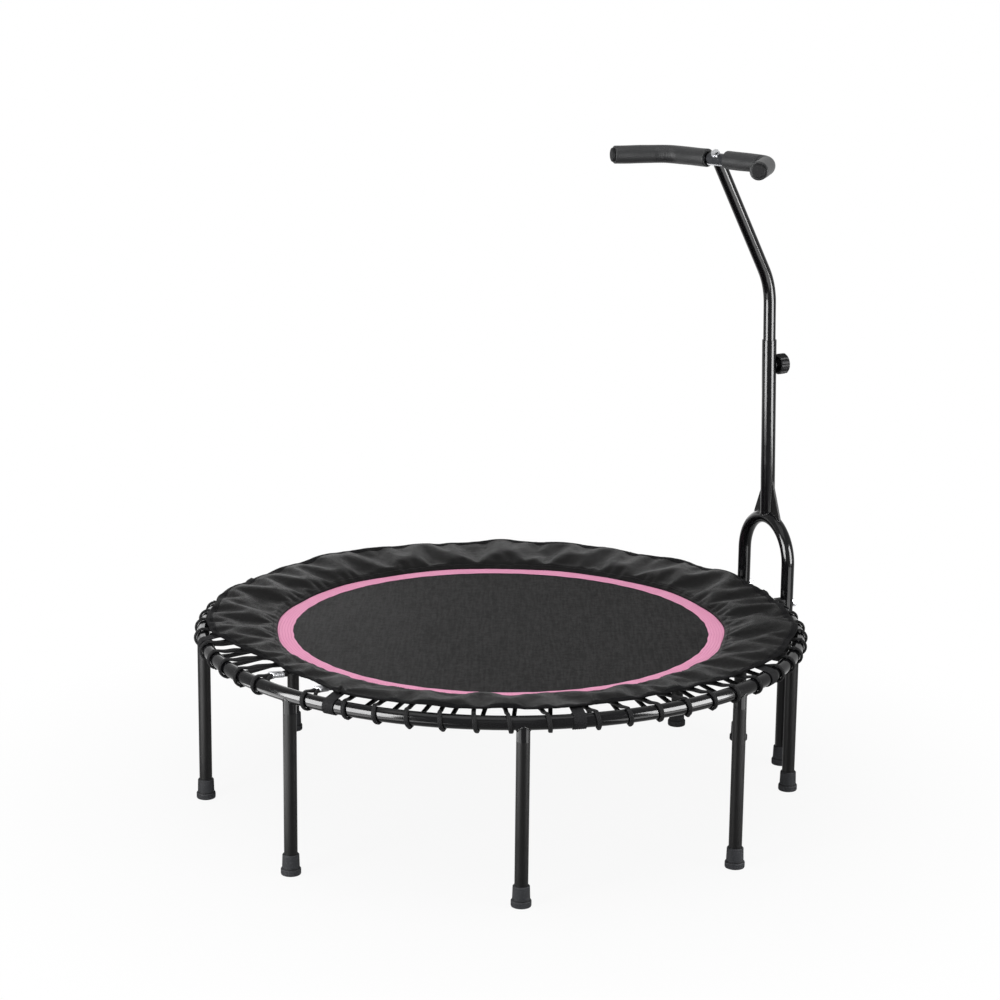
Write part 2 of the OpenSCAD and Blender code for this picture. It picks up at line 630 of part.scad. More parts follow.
ring_rear();
ring_front();
ring_spigot(joint_a);  // ring_spigot_1
ring_spigot(joint_a + 180);  // ring_spigot_2
leg(0);  // leg_1
leg(1);  // leg_2
leg(2);  // leg_3
leg(3);  // leg_4
leg(4);  // leg_5
leg(5);  // leg_6
leg(6);  // leg_7
leg(7);  // leg_8
foot(0);  // foot_1
foot(1);  // foot_2
foot(2);  // foot_3
foot(3);  // foot_4
foot(4);  // foot_5
foot(5);  // foot_6
foot(6);  // foot_7
foot(7);  // foot_8
fork();
fork_foot(-1);  // fork_foot_left
fork_foot(1);  // fork_foot_right
fork_spacer(-1);  // fork_spacer_left
fork_spacer(1);  // fork_spacer_right
fork_bolt(-1);  // fork_bolt_left
fork_bolt(1);  // fork_bolt_right
fork_nut(-1);  // fork_nut_left
fork_nut(1);  // fork_nut_right
gusset(-1);  // gusset_left
gusset(1);  // gusset_right
post_sleeve();
clamp_boss();
clamp_pad();
knob_screw();
knob();
post_glide();
stem();
bar_cradle();
handlebar();
bar_bolt();
grip(-1);  // grip_left
grip(1);  // grip_right
bar_plug(-1);  // bar_plug_left
bar_plug(1);  // bar_plug_right
mat_panel();
mat_band();
mat_loops();
cord_a();
cord_b();
cord_crimps();
cover();
cover_straps();
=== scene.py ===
"""Looks of a mini trampoline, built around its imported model.

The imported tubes, feet, bolts and knob keep their shapes and get finishes here.
The mat, its band and loops, the laced cord, the cover cloth, the straps and the
foam grips are made new, in metres and in the model's own frame.
"""

import json
import math

import bmesh
import bpy
import numpy as np
from bpy.props import (
    FloatProperty,
    FloatVectorProperty,
    IntProperty,
    PointerProperty,
)
from mathutils import Matrix, Vector

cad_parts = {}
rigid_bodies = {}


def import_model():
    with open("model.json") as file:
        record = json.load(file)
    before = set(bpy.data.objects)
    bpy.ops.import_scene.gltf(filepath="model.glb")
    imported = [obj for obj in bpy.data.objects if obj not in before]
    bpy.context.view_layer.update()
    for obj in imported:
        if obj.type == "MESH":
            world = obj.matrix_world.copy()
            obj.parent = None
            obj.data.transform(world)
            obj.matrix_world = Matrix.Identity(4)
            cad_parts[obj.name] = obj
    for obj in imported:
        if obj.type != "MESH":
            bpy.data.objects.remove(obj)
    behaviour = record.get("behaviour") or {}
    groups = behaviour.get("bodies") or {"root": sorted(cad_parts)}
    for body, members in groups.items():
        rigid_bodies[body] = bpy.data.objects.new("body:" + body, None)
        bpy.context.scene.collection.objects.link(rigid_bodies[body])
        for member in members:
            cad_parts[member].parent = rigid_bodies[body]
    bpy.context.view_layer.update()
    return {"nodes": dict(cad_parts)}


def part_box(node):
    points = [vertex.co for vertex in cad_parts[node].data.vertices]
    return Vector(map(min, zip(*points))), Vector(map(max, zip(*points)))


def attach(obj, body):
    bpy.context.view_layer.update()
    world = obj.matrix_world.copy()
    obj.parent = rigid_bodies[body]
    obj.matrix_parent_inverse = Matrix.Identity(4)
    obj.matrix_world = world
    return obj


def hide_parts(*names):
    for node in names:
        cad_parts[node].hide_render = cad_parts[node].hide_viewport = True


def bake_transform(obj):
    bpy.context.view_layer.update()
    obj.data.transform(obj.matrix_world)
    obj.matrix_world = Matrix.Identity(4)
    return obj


bl_info = {
    "name": "Mini trampoline",
    "version": (1, 0, 0),
    "blender": (4, 5, 0),
    "location": "View3D > Sidebar > Trampoline",
    "description": "Dresses the packed trampoline in paint, cloth, cord, webbing and foam",
    "category": "Add Mesh",
}

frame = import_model()

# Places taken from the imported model
MAT_LOW, MAT_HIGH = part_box("mat_panel")
BAND_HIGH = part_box("mat_band")[1]
LEG_LOW, LEG_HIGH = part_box("leg_1")
MIDDLE_Y = (MAT_LOW.y + MAT_HIGH.y) / 2
MAT_RADIUS = (MAT_HIGH.x - MAT_LOW.x) / 2

# Degrees round the ring, and the fork's place from the ring's middle
LEG_STEP, FIRST_LEG, STRAP_AFTER_LEG = 45.0, 22.5, 9.75
FORK_REACH, FORK_HALF, CROWN_HIGH, POST_LEAN = 0.583, 0.08, 0.486, 1.6
UP = Vector((0, 0, 1))


def colour(name, about, default):
    return FloatVectorProperty(
        name=name, description=about, default=default, subtype="COLOR", size=3, min=0, max=1
    )


def length(name, about, default):
    return FloatProperty(
        name=name, description=about, default=default, min=0, unit="LENGTH", precision=4
    )


class TrampolineSizes(bpy.types.PropertyGroup):
    """Sizes of the soft pieces."""

    ring_radius: length("Ring", "Radius of the ring's centre line", 0.5575)
    tube_radius: length("Ring tube", "Radius of the ring's tube", 0.0125)
    ring_height: length("Ring height", "Height of the ring's centre line", 0.33)
    cord_radius: length("Cord", "Radius of the elastic cord", 0.004)
    band_width: length("Band", "Width of the sewn band", 0.037)
    stitch: length("Stitch", "Length of one stitch of the band", 0.0052)
    stitch_rows: IntProperty(
        name="Stitch rows", description="Rows of stitching on the band", default=7, min=1
    )
    cover_gap: length("Cover gap", "Distance from the ring's tube to the cover's hem, at a strap", 0.002)
    cover_cloth: length("Cover cloth", "Thickness of the cover cloth", 0.0012)
    fold: length("Fold", "Height of the cover's main folds", 0.012)
    strap_width: length("Strap", "Width of a hold-down strap", 0.022)
    grip_radius: length("Grip", "Radius of the foam grips", 0.01725)


class TrampolineColours(bpy.types.PropertyGroup):
    """Colours of the finishes."""

    paint: colour("Paint", "Gloss black paint of the tubes", (0.0045, 0.0045, 0.005))
    leg: colour("Legs", "Satin black powder coat", (0.0085, 0.0083, 0.0084))
    rubber: colour("Rubber", "Moulded feet", (0.026, 0.027, 0.03))
    steel: colour("Steel", "Plated bolts and nuts", (0.45, 0.455, 0.47))
    zinc: colour("Zinc", "Pressed crimps", (0.17, 0.172, 0.178))
    plastic: colour("Plastic", "Knob, plugs and spacers", (0.007, 0.007, 0.0076))
    nylon: colour("Nylon", "Glide and clamp pad", (0.72, 0.71, 0.66))
    foam: colour("Foam", "Foam of the grips", (0.009, 0.0095, 0.0102))
    mat: colour("Mat", "Woven mat", (0.0215, 0.0211, 0.0212))
    band: colour("Band", "Sewn band", (0.79, 0.352, 0.515))
    thread: colour("Thread", "Stitching of the band", (0.76, 0.31, 0.48))
    cord: colour("Cord", "Braid of the elastic cord", (0.0095, 0.0095, 0.01))
    cover: colour("Cover", "Coated cover cloth", (0.0046, 0.0045, 0.0045))
    webbing: colour("Webbing", "Straps and loops", (0.0075, 0.0075, 0.0082))


def sizes():
    return bpy.context.scene.trampoline_sizes


def colours():
    return bpy.context.scene.trampoline_colours


# Shader maths


class Tap:
    """An output of a finish's nodes. Arithmetic on it adds Math nodes."""

    def __init__(self, finish, socket):
        self.finish, self.socket = finish, socket

    def maths(self, operation, *values):
        return self.finish.node("ShaderNodeMath", {"operation": operation}, values)

    def __add__(self, other):
        return self.maths("ADD", self, other)

    def __sub__(self, other):
        return self.maths("SUBTRACT", self, other)

    def __rsub__(self, other):
        return self.maths("SUBTRACT", other, self)

    def __mul__(self, other):
        return self.maths("MULTIPLY", self, other)

    def __pow__(self, other):
        return self.maths("POWER", self, other)

    def __abs__(self):
        return self.maths("ABSOLUTE", self)

    __radd__, __rmul__ = __add__, __mul__

    def sin(self):
        return self.maths("SINE", self)

    def between(self, low, high):
        """0 below low, 1 above high, and a smooth step between."""
        return self.finish.node(
            "ShaderNodeMapRange",
            {"interpolation_type": "SMOOTHSTEP"},
            {"Value": self, "From Min": low, "From Max": high},
        )


class Finish:
    """One material and its nodes."""

    def __init__(self, name, roughness=0.5, **shine):
        self.material = bpy.data.materials.new(name)
        self.material.use_nodes = True
        self.tree = self.material.node_tree
        self.shader = self.tree.nodes["Principled BSDF"]
        self.set("Roughness", roughness)
        for socket, value in shine.items():
            self.set(socket.replace("_", " "), value)

    def node(self, kind, settings=None, inputs=(), out=0):
        made = self.tree.nodes.new(kind)
        for key, value in (settings or {}).items():
            setattr(made, key, value)
        pairs = inputs.items() if isinstance(inputs, dict) else enumerate(inputs)
        for key, value in pairs:
            self.join(made.inputs[key], value)
        return Tap(self, made.outputs[out])

    def join(self, socket, value):
        if isinstance(value, Tap):
            self.tree.links.new(value.socket, socket)
        elif isinstance(value, (tuple, list)) and socket.type == "RGBA":
            socket.default_value = (*value[:3], 1)
        else:
            socket.default_value = value

    def set(self, socket, value):
        self.join(self.shader.inputs[socket], value)

    def place(self):
        """The point in the model's frame, in metres."""
        return self.node("ShaderNodeTexCoord", out="Object")

    def part(self, vector, axis):
        return self.node("ShaderNodeSeparateXYZ", {}, [vector], out=axis)

    def turned(self, vector, angle=0.0, scale=(1, 1, 1)):
        return self.node(
            "ShaderNodeMapping",
            {},
            {"Vector": vector, "Rotation": (0, 0, math.radians(angle)), "Scale": scale},
        )

    def noise(self, vector, scale, detail=2.0, rough=0.5):
        return self.node(
            "ShaderNodeTexNoise",
            {},
            {"Vector": vector, "Scale": scale, "Detail": detail, "Roughness": rough},
        )

    def mix(self, factor, a, b):
        """A mix of two colours."""
        made = self.tree.nodes.new("ShaderNodeMix")
        made.data_type = "RGBA"
        self.join(made.inputs["Factor"], factor)
        colour_in = [s for s in made.inputs if s.type == "RGBA"]
        self.join(colour_in[0], a)
        self.join(colour_in[1], b)
        return Tap(self, [s for s in made.outputs if s.type == "RGBA"][0])

    def bump(self, height, distance, strength=1.0):
        self.set(
            "Normal",
            self.node(
                "ShaderNodeBump",
                {},
                {"Height": height, "Distance": distance, "Strength": strength},
            ),
        )

    def tint(self, mask, base, darker=0.7, lighter=1.3):
        """Base colour that a mask from 0 to 1 carries from darker to lighter."""
        low, high = [tuple(min(1, c * k) for c in base) for k in (darker, lighter)]
        self.set("Base Color", self.mix(mask, low, high))


FINISHES = {}


def finish(make):
    """Each finish is made once and shared by its pieces."""

    def once():
        if make.__name__ not in FINISHES:
            FINISHES[make.__name__] = make().material
        return FINISHES[make.__name__]

    return once


@finish
def gloss_paint():
    f = Finish("gloss_paint", 0.14, Specular_IOR_Level=0.12)
    at = f.place()
    peel = f.noise(at, 260, 1.0)
    dust = f.noise(at, 34, 5.0, 0.65)
    f.tint(dust, tuple(colours().paint), 0.75, 1.5)
    f.set("Roughness", dust.between(0.55, 0.85) * 0.1 + 0.12)
    f.bump(peel, 0.00003, 0.08)
    return f


@finish
def satin_paint():
    f = Finish("satin_paint", 0.42, Specular_IOR_Level=0.055)
    at = f.place()
    grain = f.noise(at, 1500, 2.0)
    haze = f.noise(at, 18, 4.0, 0.6)
    f.tint(haze, tuple(colours().leg), 0.8, 1.25)
    f.set("Roughness", haze * 0.14 + 0.33)
    f.bump(grain, 0.00008, 0.6)
    return f


@finish
def rubber():
    f = Finish("rubber", 0.72, Specular_IOR_Level=0.05)
    at = f.place()
    grain = f.noise(at, 900, 3.0, 0.6)
    bloom = f.noise(at, 45, 4.0, 0.6)
    height = f.part(at, "Z")
    scuff = (1 - height.between(0.0, 0.006)) * f.noise(at, 220, 3.0).between(0.45, 0.7)
    speck = f.noise(at, 420, 2.0).between(0.5, 0.72)
    # Painted shade: the dark colour mixed in along the groove at the collar's top, 12.8 mm up, stands for
    # the shade in that groove
    groove = 1 - abs(height - 0.0128).between(0.0003, 0.0016)
    base = tuple(colours().rubber)
    worn = tuple(c * 2.6 for c in base)
    collar_groove_shade = tuple(c * 0.12 for c in base)
    rubbed = f.mix(scuff * 0.7 + bloom.between(0.5, 0.85) * 0.25 + speck * 0.3, base, worn)
    f.set("Base Color", f.mix(groove * 0.9, rubbed, collar_groove_shade))
    f.set("Roughness", bloom * 0.2 + 0.6)
    f.bump(grain, 0.00015, 0.7)
    return f


@finish
def plated_steel():
    f = Finish("plated_steel", 0.28, Metallic=1.0)
    at = f.place()
    cloud = f.noise(at, 160, 3.0, 0.6)
    lines = f.noise(f.turned(at, 0, (900, 900, 60)), 1.0, 2.0)
    f.tint(cloud, tuple(colours().steel), 0.82, 1.15)
    f.set("Roughness", cloud * 0.16 + 0.18)
    f.bump(lines, 0.00004, 0.5)
    return f


@finish
def pressed_zinc():
    f = Finish("pressed_zinc", 0.5, Metallic=0.4, Specular_IOR_Level=0.2)
    at = f.place()
    cloud = f.noise(at, 420, 3.0, 0.6)
    f.tint(cloud, tuple(colours().zinc), 0.6, 1.5)
    f.set("Roughness", cloud * 0.2 + 0.42)
    f.bump(cloud, 0.0002, 0.6)
    return f


@finish
def bright_bar():
    f = Finish("bright_bar", 0.1, Metallic=1.0)
    at = f.place()
    smear = f.noise(at, 90, 4.0, 0.6)
    # Painted reflection: the plated bar's colour is kept very dark, standing in for the dark surroundings it
    # would mirror; the smear varies it at random
    f.set("Base Color", f.mix(smear, (0.026, 0.027, 0.03), (0.075, 0.077, 0.083)))
    f.set("Roughness", smear * 0.12 + 0.06)
    return f


@finish
def black_plastic():
    f = Finish("black_plastic", 0.46, Specular_IOR_Level=0.05)
    at = f.place()
    grain = f.noise(at, 1300, 2.0)
    f.tint(f.noise(at, 60, 3.0), tuple(colours().plastic), 0.8, 1.4)
    f.set("Roughness", grain * 0.14 + 0.4)
    f.bump(grain, 0.0001, 0.6)
    return f


@finish
def nylon():
    f = Finish("nylon", 0.42)
    at = f.place()
    f.tint(f.noise(at, 80, 3.0), tuple(colours().nylon), 0.92, 1.04)
    f.bump(f.noise(at, 700, 2.0), 0.0001, 0.4)
    return f


@finish
def foam():
    f = Finish("foam", 0.46, Specular_IOR_Level=0.3)
    at = f.place()
    cells = f.node(
        "ShaderNodeTexVoronoi", {"feature": "SMOOTH_F1"}, {"Vector": at, "Scale": 620.0}
    )
    soft = f.noise(at, 42, 4.0, 0.6)
    base = tuple(colours().foam)
    f.tint(cells.between(0.15, 0.75) * 0.5 + soft * 0.5, base, 0.72, 1.25)
    f.bump(cells, 0.0003, 0.4)
    return f


def weave(f, at, pitch):
    """Height of a plain weave: threads that go over and under each other, from 0 to 1."""
    turn = math.pi / pitch
    x, y = f.part(at, "X") * turn, f.part(at, "Y") * turn
    over = x.sin() * y.sin()
    warp = abs((x * 2.0).sin()) ** 0.5
    weft = abs((y * 2.0).sin()) ** 0.5
    side = over.between(-0.25, 0.25)
    return warp * side + weft * (1 - side)


@finish
def mat_weave():
    f = Finish("mat_weave", 0.7, Specular_IOR_Level=0.012)
    at = f.turned(f.place(), -63)
    cloth = weave(f, at, 0.0016)
    streak = f.noise(f.turned(at, 0, (18, 230, 1)), 1.0, 3.0, 0.6).between(0.36, 0.64)
    cross = f.noise(f.turned(at, 0, (230, 18, 1)), 1.0, 3.0, 0.6).between(0.36, 0.64)
    grain = f.noise(at, 120, 3.0, 0.6).between(0.36, 0.64)
    wear = f.noise(at, 5.5, 4.0, 0.6)
    mask = cloth * 0.14 + streak * 0.26 + cross * 0.26 + grain * 0.24 + wear * 0.1
    f.tint(mask, tuple(colours().mat), 0.3, 1.7)
    f.set("Roughness", wear * 0.16 + streak * 0.12 + 0.54)
    f.bump(cloth * 0.7 + streak * 0.3, 0.0004, 0.5)
    return f


def run_map(f):
    """A swept piece's own map: across in turns, along in metres."""
    return f.node("ShaderNodeUVMap", {"uv_map": "run"})


@finish
def band_web():
    f = Finish("band_web", 0.78, Specular_IOR_Level=0.04)
    run, at = run_map(f), f.place()
    across, along = f.part(run, "X"), f.part(run, "Y")
    twill = (along * 2600.0 + across * 150.0).sin() * 0.5 + 0.5
    ribs = (along * 5200.0).sin() * 0.5 + 0.5
    stain = f.noise(at, 9, 4.0, 0.6)
    base = tuple(colours().band)
    deep = (base[0] * 0.86, base[1] * 0.72, base[2] * 0.8)
    pale = (min(1, base[0] * 1.04), base[1] * 1.18, base[2] * 1.12)
    cloth = f.mix(twill * 0.3 + stain * 0.55 + ribs * 0.15, deep, pale)
    # Painted shade: the colour darkens along the sunk lines of the stitch rows, where shade falls in the
    # grooves
    row = abs((across * (math.pi * sizes().stitch_rows)).sin())
    stitch_groove_shade = (base[0] * 0.72, base[1] * 0.58, base[2] * 0.66)
    f.set("Base Color", f.mix((1 - row.between(0.1, 0.55)) * 0.75, cloth, stitch_groove_shade))
    f.set("Roughness", stain * 0.2 + 0.66)
    f.bump(twill * 0.6 + ribs * 0.4, 0.0002, 0.5)
    return f


@finish
def band_thread():
    f = Finish("band_thread", 0.6, Specular_IOR_Level=0.06)
    at = f.place()
    twist = f.noise(at, 2200, 1.0)
    f.tint(twist, tuple(colours().thread), 0.78, 1.12)
    f.bump(twist, 0.0001, 0.5)
    return f


@finish
def black_thread():
    f = Finish("black_thread", 0.55, Specular_IOR_Level=0.08)
    twist = f.noise(f.place(), 2200, 1.0)
    f.tint(twist, (0.02, 0.02, 0.021), 0.7, 1.4)
    f.bump(twist, 0.0001, 0.5)
    return f


@finish
def braid():
    f = Finish("braid", 0.62, Specular_IOR_Level=0.12)
    run = run_map(f)
    across, along = f.part(run, "X") * (2 * math.pi * 6), f.part(run, "Y") * 1250.0
    right = (across + along).sin() * 0.5 + 0.5
    left = (across - along).sin() * 0.5 + 0.5
    over = (across.sin() * along.sin()).between(-0.3, 0.3)
    plait = right * over + left * (1 - over)
    fuzz = f.noise(f.place(), 700, 3.0, 0.6)
    f.tint(plait * 0.7 + fuzz * 0.3, tuple(colours().cord), 0.45, 1.9)
    f.set("Roughness", plait * -0.18 + 0.72)
    f.bump(plait, 0.0006, 0.8)
    return f


@finish
def coated_cloth():
    f = Finish("coated_cloth", 0.4, Specular_IOR_Level=0.05)
    at = f.place()
    cloth = weave(f, f.turned(at, 20), 0.0009)
    cloud = f.noise(at, 26, 5.0, 0.6)
    crush = f.noise(at, 75, 4.0, 0.7)
    f.tint(cloud * 0.7 + cloth * 0.3, tuple(colours().cover), 0.65, 1.5)
    f.set("Roughness", cloud * 0.14 + crush.between(0.45, 0.7) * 0.1 + 0.36)
    f.bump(cloth * 0.35 + crush * 0.65, 0.0005, 0.5)
    return f


@finish
def webbing():
    f = Finish("webbing", 0.68, Specular_IOR_Level=0.12)
    run = run_map(f)
    across, along = f.part(run, "X"), f.part(run, "Y")
    chevron = (along * 2400.0 + abs((across * 18.0).sin()) * 3.0).sin() * 0.5 + 0.5
    cords = (across * 75.0).sin() * 0.5 + 0.5
    fuzz = f.noise(f.place(), 420, 3.0, 0.6)
    f.tint(chevron * 0.5 + fuzz * 0.5, tuple(colours().webbing), 0.55, 1.8)
    f.set("Roughness", fuzz * 0.24 + 0.54)
    f.bump(chevron * 0.6 + cords * 0.4, 0.0005, 0.8)
    return f


@finish
def edge_tape():
    f = Finish("edge_tape", 0.75, Specular_IOR_Level=0.04)
    run = run_map(f)
    ribs = (f.part(run, "Y") * 2900.0).sin() * 0.5 + 0.5
    fuzz = f.noise(f.place(), 500, 3.0, 0.6)
    f.tint(ribs * 0.5 + fuzz * 0.5, tuple(c * 0.5 for c in colours().webbing), 0.6, 1.6)
    f.set("Roughness", fuzz * 0.2 + 0.62)
    f.bump(ribs, 0.0003, 0.6)
    return f


# Mesh making


def piece(name, skins, material, body=None, stands_for=(), closed=True):
    """One object made from skins, each its points, its quads and its map."""
    points, faces, maps = [], [], []
    for skin_points, skin_faces, skin_map in skins:
        faces += [[k + len(points) for k in face] for face in skin_faces]
        points += [tuple(p) for p in skin_points]
        maps += skin_map
    mesh = bpy.data.meshes.new(name)
    mesh.from_pydata(points, [], faces)
    layer = mesh.uv_layers.new(name="run")
    layer.data.foreach_set("uv", np.array(maps, np.float32).ravel())
    mesh.polygons.foreach_set("use_smooth", [True] * len(mesh.polygons))
    if closed:
        shape = bmesh.new()
        shape.from_mesh(mesh)
        bmesh.ops.recalc_face_normals(shape, faces=shape.faces)
        shape.to_mesh(mesh)
        shape.free()
    made = bpy.data.objects.new(name, mesh)
    bpy.context.scene.collection.objects.link(made)
    mesh.materials.append(material)
    if body:
        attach(made, body)
    if stands_for:
        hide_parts(*stands_for)
    return made


def skin(rings, around=True, loop=False, caps=False, along=None, across=None):
    """A skin over rings of points, with its quads and its map."""
    rings = np.asarray(rings, float)
    n, m = rings.shape[:2]
    rows, columns = (n if loop else n - 1), (m if around else m - 1)
    along = np.arange(rows + 1) if along is None else np.asarray(along, float)
    across = np.linspace(0, 1, columns + 1) if across is None else np.asarray(across, float)
    faces, uvs = [], []
    for i in range(rows):
        low, high = i * m, (i + 1) % n * m
        for j in range(columns):
            k = (j + 1) % m
            faces.append([low + j, low + k, high + k, high + j])
            uvs += [
                (across[j], along[i]),
                (across[j + 1], along[i]),
                (across[j + 1], along[i + 1]),
                (across[j], along[i + 1]),
            ]
    if caps:
        for first, flip in ((0, True), ((n - 1) * m, False)):
            rim = [first + j for j in range(m)]
            faces.append(rim[::-1] if flip else rim)
            uvs += [(0.5, 0.0)] * m
    return rings.reshape(-1, 3), faces, uvs


def distances(path):
    return np.concatenate([[0], np.cumsum(np.linalg.norm(np.diff(path, axis=0), axis=1))])


def even(path, step):
    """The path again with points about step apart."""
    far = distances(path)
    at = np.linspace(0, far[-1], max(2, round(far[-1] / step) + 1))
    return np.stack([np.interp(at, far, path[:, k]) for k in range(3)], axis=1)


def curve_through(points, step, loop=False):
    """A smooth line through points, with points about step apart."""
    p = np.asarray(points, float)
    if loop:
        p = np.concatenate([p[-1:], p, p[:2]])
    else:
        p = np.concatenate([2 * p[:1] - p[1:2], p, 2 * p[-1:] - p[-2:-1]])
    t = np.linspace(0, 1, 9)[:-1, None, None]
    a, b, c, d = p[:-3], p[1:-2], p[2:-1], p[3:]
    line = 0.5 * (2 * b + (c - a) * t + (2 * a - 5 * b + 4 * c - d) * t**2 + (3 * b - a - 3 * c + d) * t**3)
    return even(np.concatenate([line.transpose(1, 0, 2).reshape(-1, 3), p[-2:-1]]), step)


def directions(path, loop=False):
    ahead = np.roll(path, -1, 0) - np.roll(path, 1, 0)
    if not loop:
        ahead[0], ahead[-1] = path[1] - path[0], path[-1] - path[-2]
    return ahead / np.linalg.norm(ahead, axis=1)[:, None]


def carried(path, start=(0, 0, 1)):
    """Two directions square to a path at each of its points, carried on without twist."""
    ahead = directions(path)
    side, out = np.array(start, float), []
    for way in ahead:
        side = side - way * (side @ way)
        side /= np.linalg.norm(side)
        out.append(side)
    out = np.array(out)
    return out, np.cross(ahead, out)


def tube(path, radius, sides, caps=True, start=(0, 0, 1)):
    """A round tube along a path. The radius is one number, or one for each point or each ring's points."""
    path = np.asarray(path, float)
    up, side = carried(path, start)
    turn = np.linspace(0, 2 * math.pi, sides, endpoint=False)
    reach = np.broadcast_to(np.asarray(radius, float).reshape(-1, 1) if np.ndim(radius) == 1 else radius,
                            (len(path), sides))[..., None]
    rings = path[:, None] + reach * (
        np.cos(turn)[None, :, None] * up[:, None] + np.sin(turn)[None, :, None] * side[:, None]
    )
    return skin(rings, caps=caps, along=distances(path))


def ring_tube(path, radius, sides):
    """A closed round tube along a closed path. The radius is one number, or one for each point."""
    ahead = directions(path, loop=True)
    side = np.cross(ahead, (0, 0, 1))
    side /= np.linalg.norm(side, axis=1)[:, None]
    up = np.cross(side, ahead)
    turn = np.linspace(0, 2 * math.pi, sides, endpoint=False)
    rings = path[:, None] + np.reshape(radius, (-1, 1, 1)) * (
        np.cos(turn)[None, :, None] * up[:, None] + np.sin(turn)[None, :, None] * side[:, None]
    )
    far = distances(np.concatenate([path, path[:1]]))
    return skin(rings, loop=True, along=far)


def polar(r, degrees, z):
    """A point round the ring's middle."""
    a = np.radians(degrees)
    r, a, z = np.broadcast_arrays(r, a, z)
    return np.stack([r * np.cos(a), r * np.sin(a) + MIDDLE_Y, z], axis=-1)


def arc_degrees(arc, r):
    return np.degrees(arc / r)


def leg_degrees(k):
    return FIRST_LEG + k * LEG_STEP


def stitches(path, normals, long, gap, thick):
    """Short rounded stitches that lie along a path."""
    far = distances(path)
    skins = []
    bulge = np.array([0.25, 0.85, 1.0, 0.85, 0.25])
    lift = np.array([-0.6, 0.35, 0.6, 0.35, -0.6])
    for begin in np.arange(0, far[-1] - long, long + gap):
        at = np.linspace(begin, begin + long, 5)
        line = np.stack([np.interp(at, far, path[:, k]) for k in range(3)], axis=1)
        up = np.stack([np.interp(at, far, normals[:, k]) for k in range(3)], axis=1)
        skins.append(tube(line + up * (lift * thick)[:, None], bulge * thick, 5))
    return skins


def sew_on(thread, carrier):
    """Stitches that go with the piece they are sewn into."""
    thread.parent = carrier
    thread.matrix_parent_inverse = carrier.matrix_world.inverted()


def strip(line, out, middle, half, web, upper, lower, span):
    """A strip of webbing at an angle round the ring: its line, width, thickness and two ribbed faces."""
    across = np.linspace(-1, 1, len(upper))
    rows = []
    for p, n in zip(line, out):
        ring = []
        for face, crown in ((1, upper), (-1, lower)):
            for x, c in list(zip(across, crown))[::face]:
                q = p + n * face * (web / 2 + c)
                ring.append(polar(q[0], middle + arc_degrees(x * half, q[0]), q[2]))
        rows.append(ring)
    return skin(rows, caps=True, along=distances(line), across=np.linspace(0, span, 2 * len(upper) + 1))


def follow_mat(made, weight):
    """Bakes a piece's placement into its points and works out how far the mat holds each point; the weights
    are not kept.
    """
    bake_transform(made)
    co = np.zeros(len(made.data.vertices) * 3, np.float32)
    made.data.vertices.foreach_get("co", co)
    co = co.reshape(-1, 3)
    r = np.hypot(co[:, 0], co[:, 1] - MIDDLE_Y)
    weight(r).astype(np.float32)


# The lacing


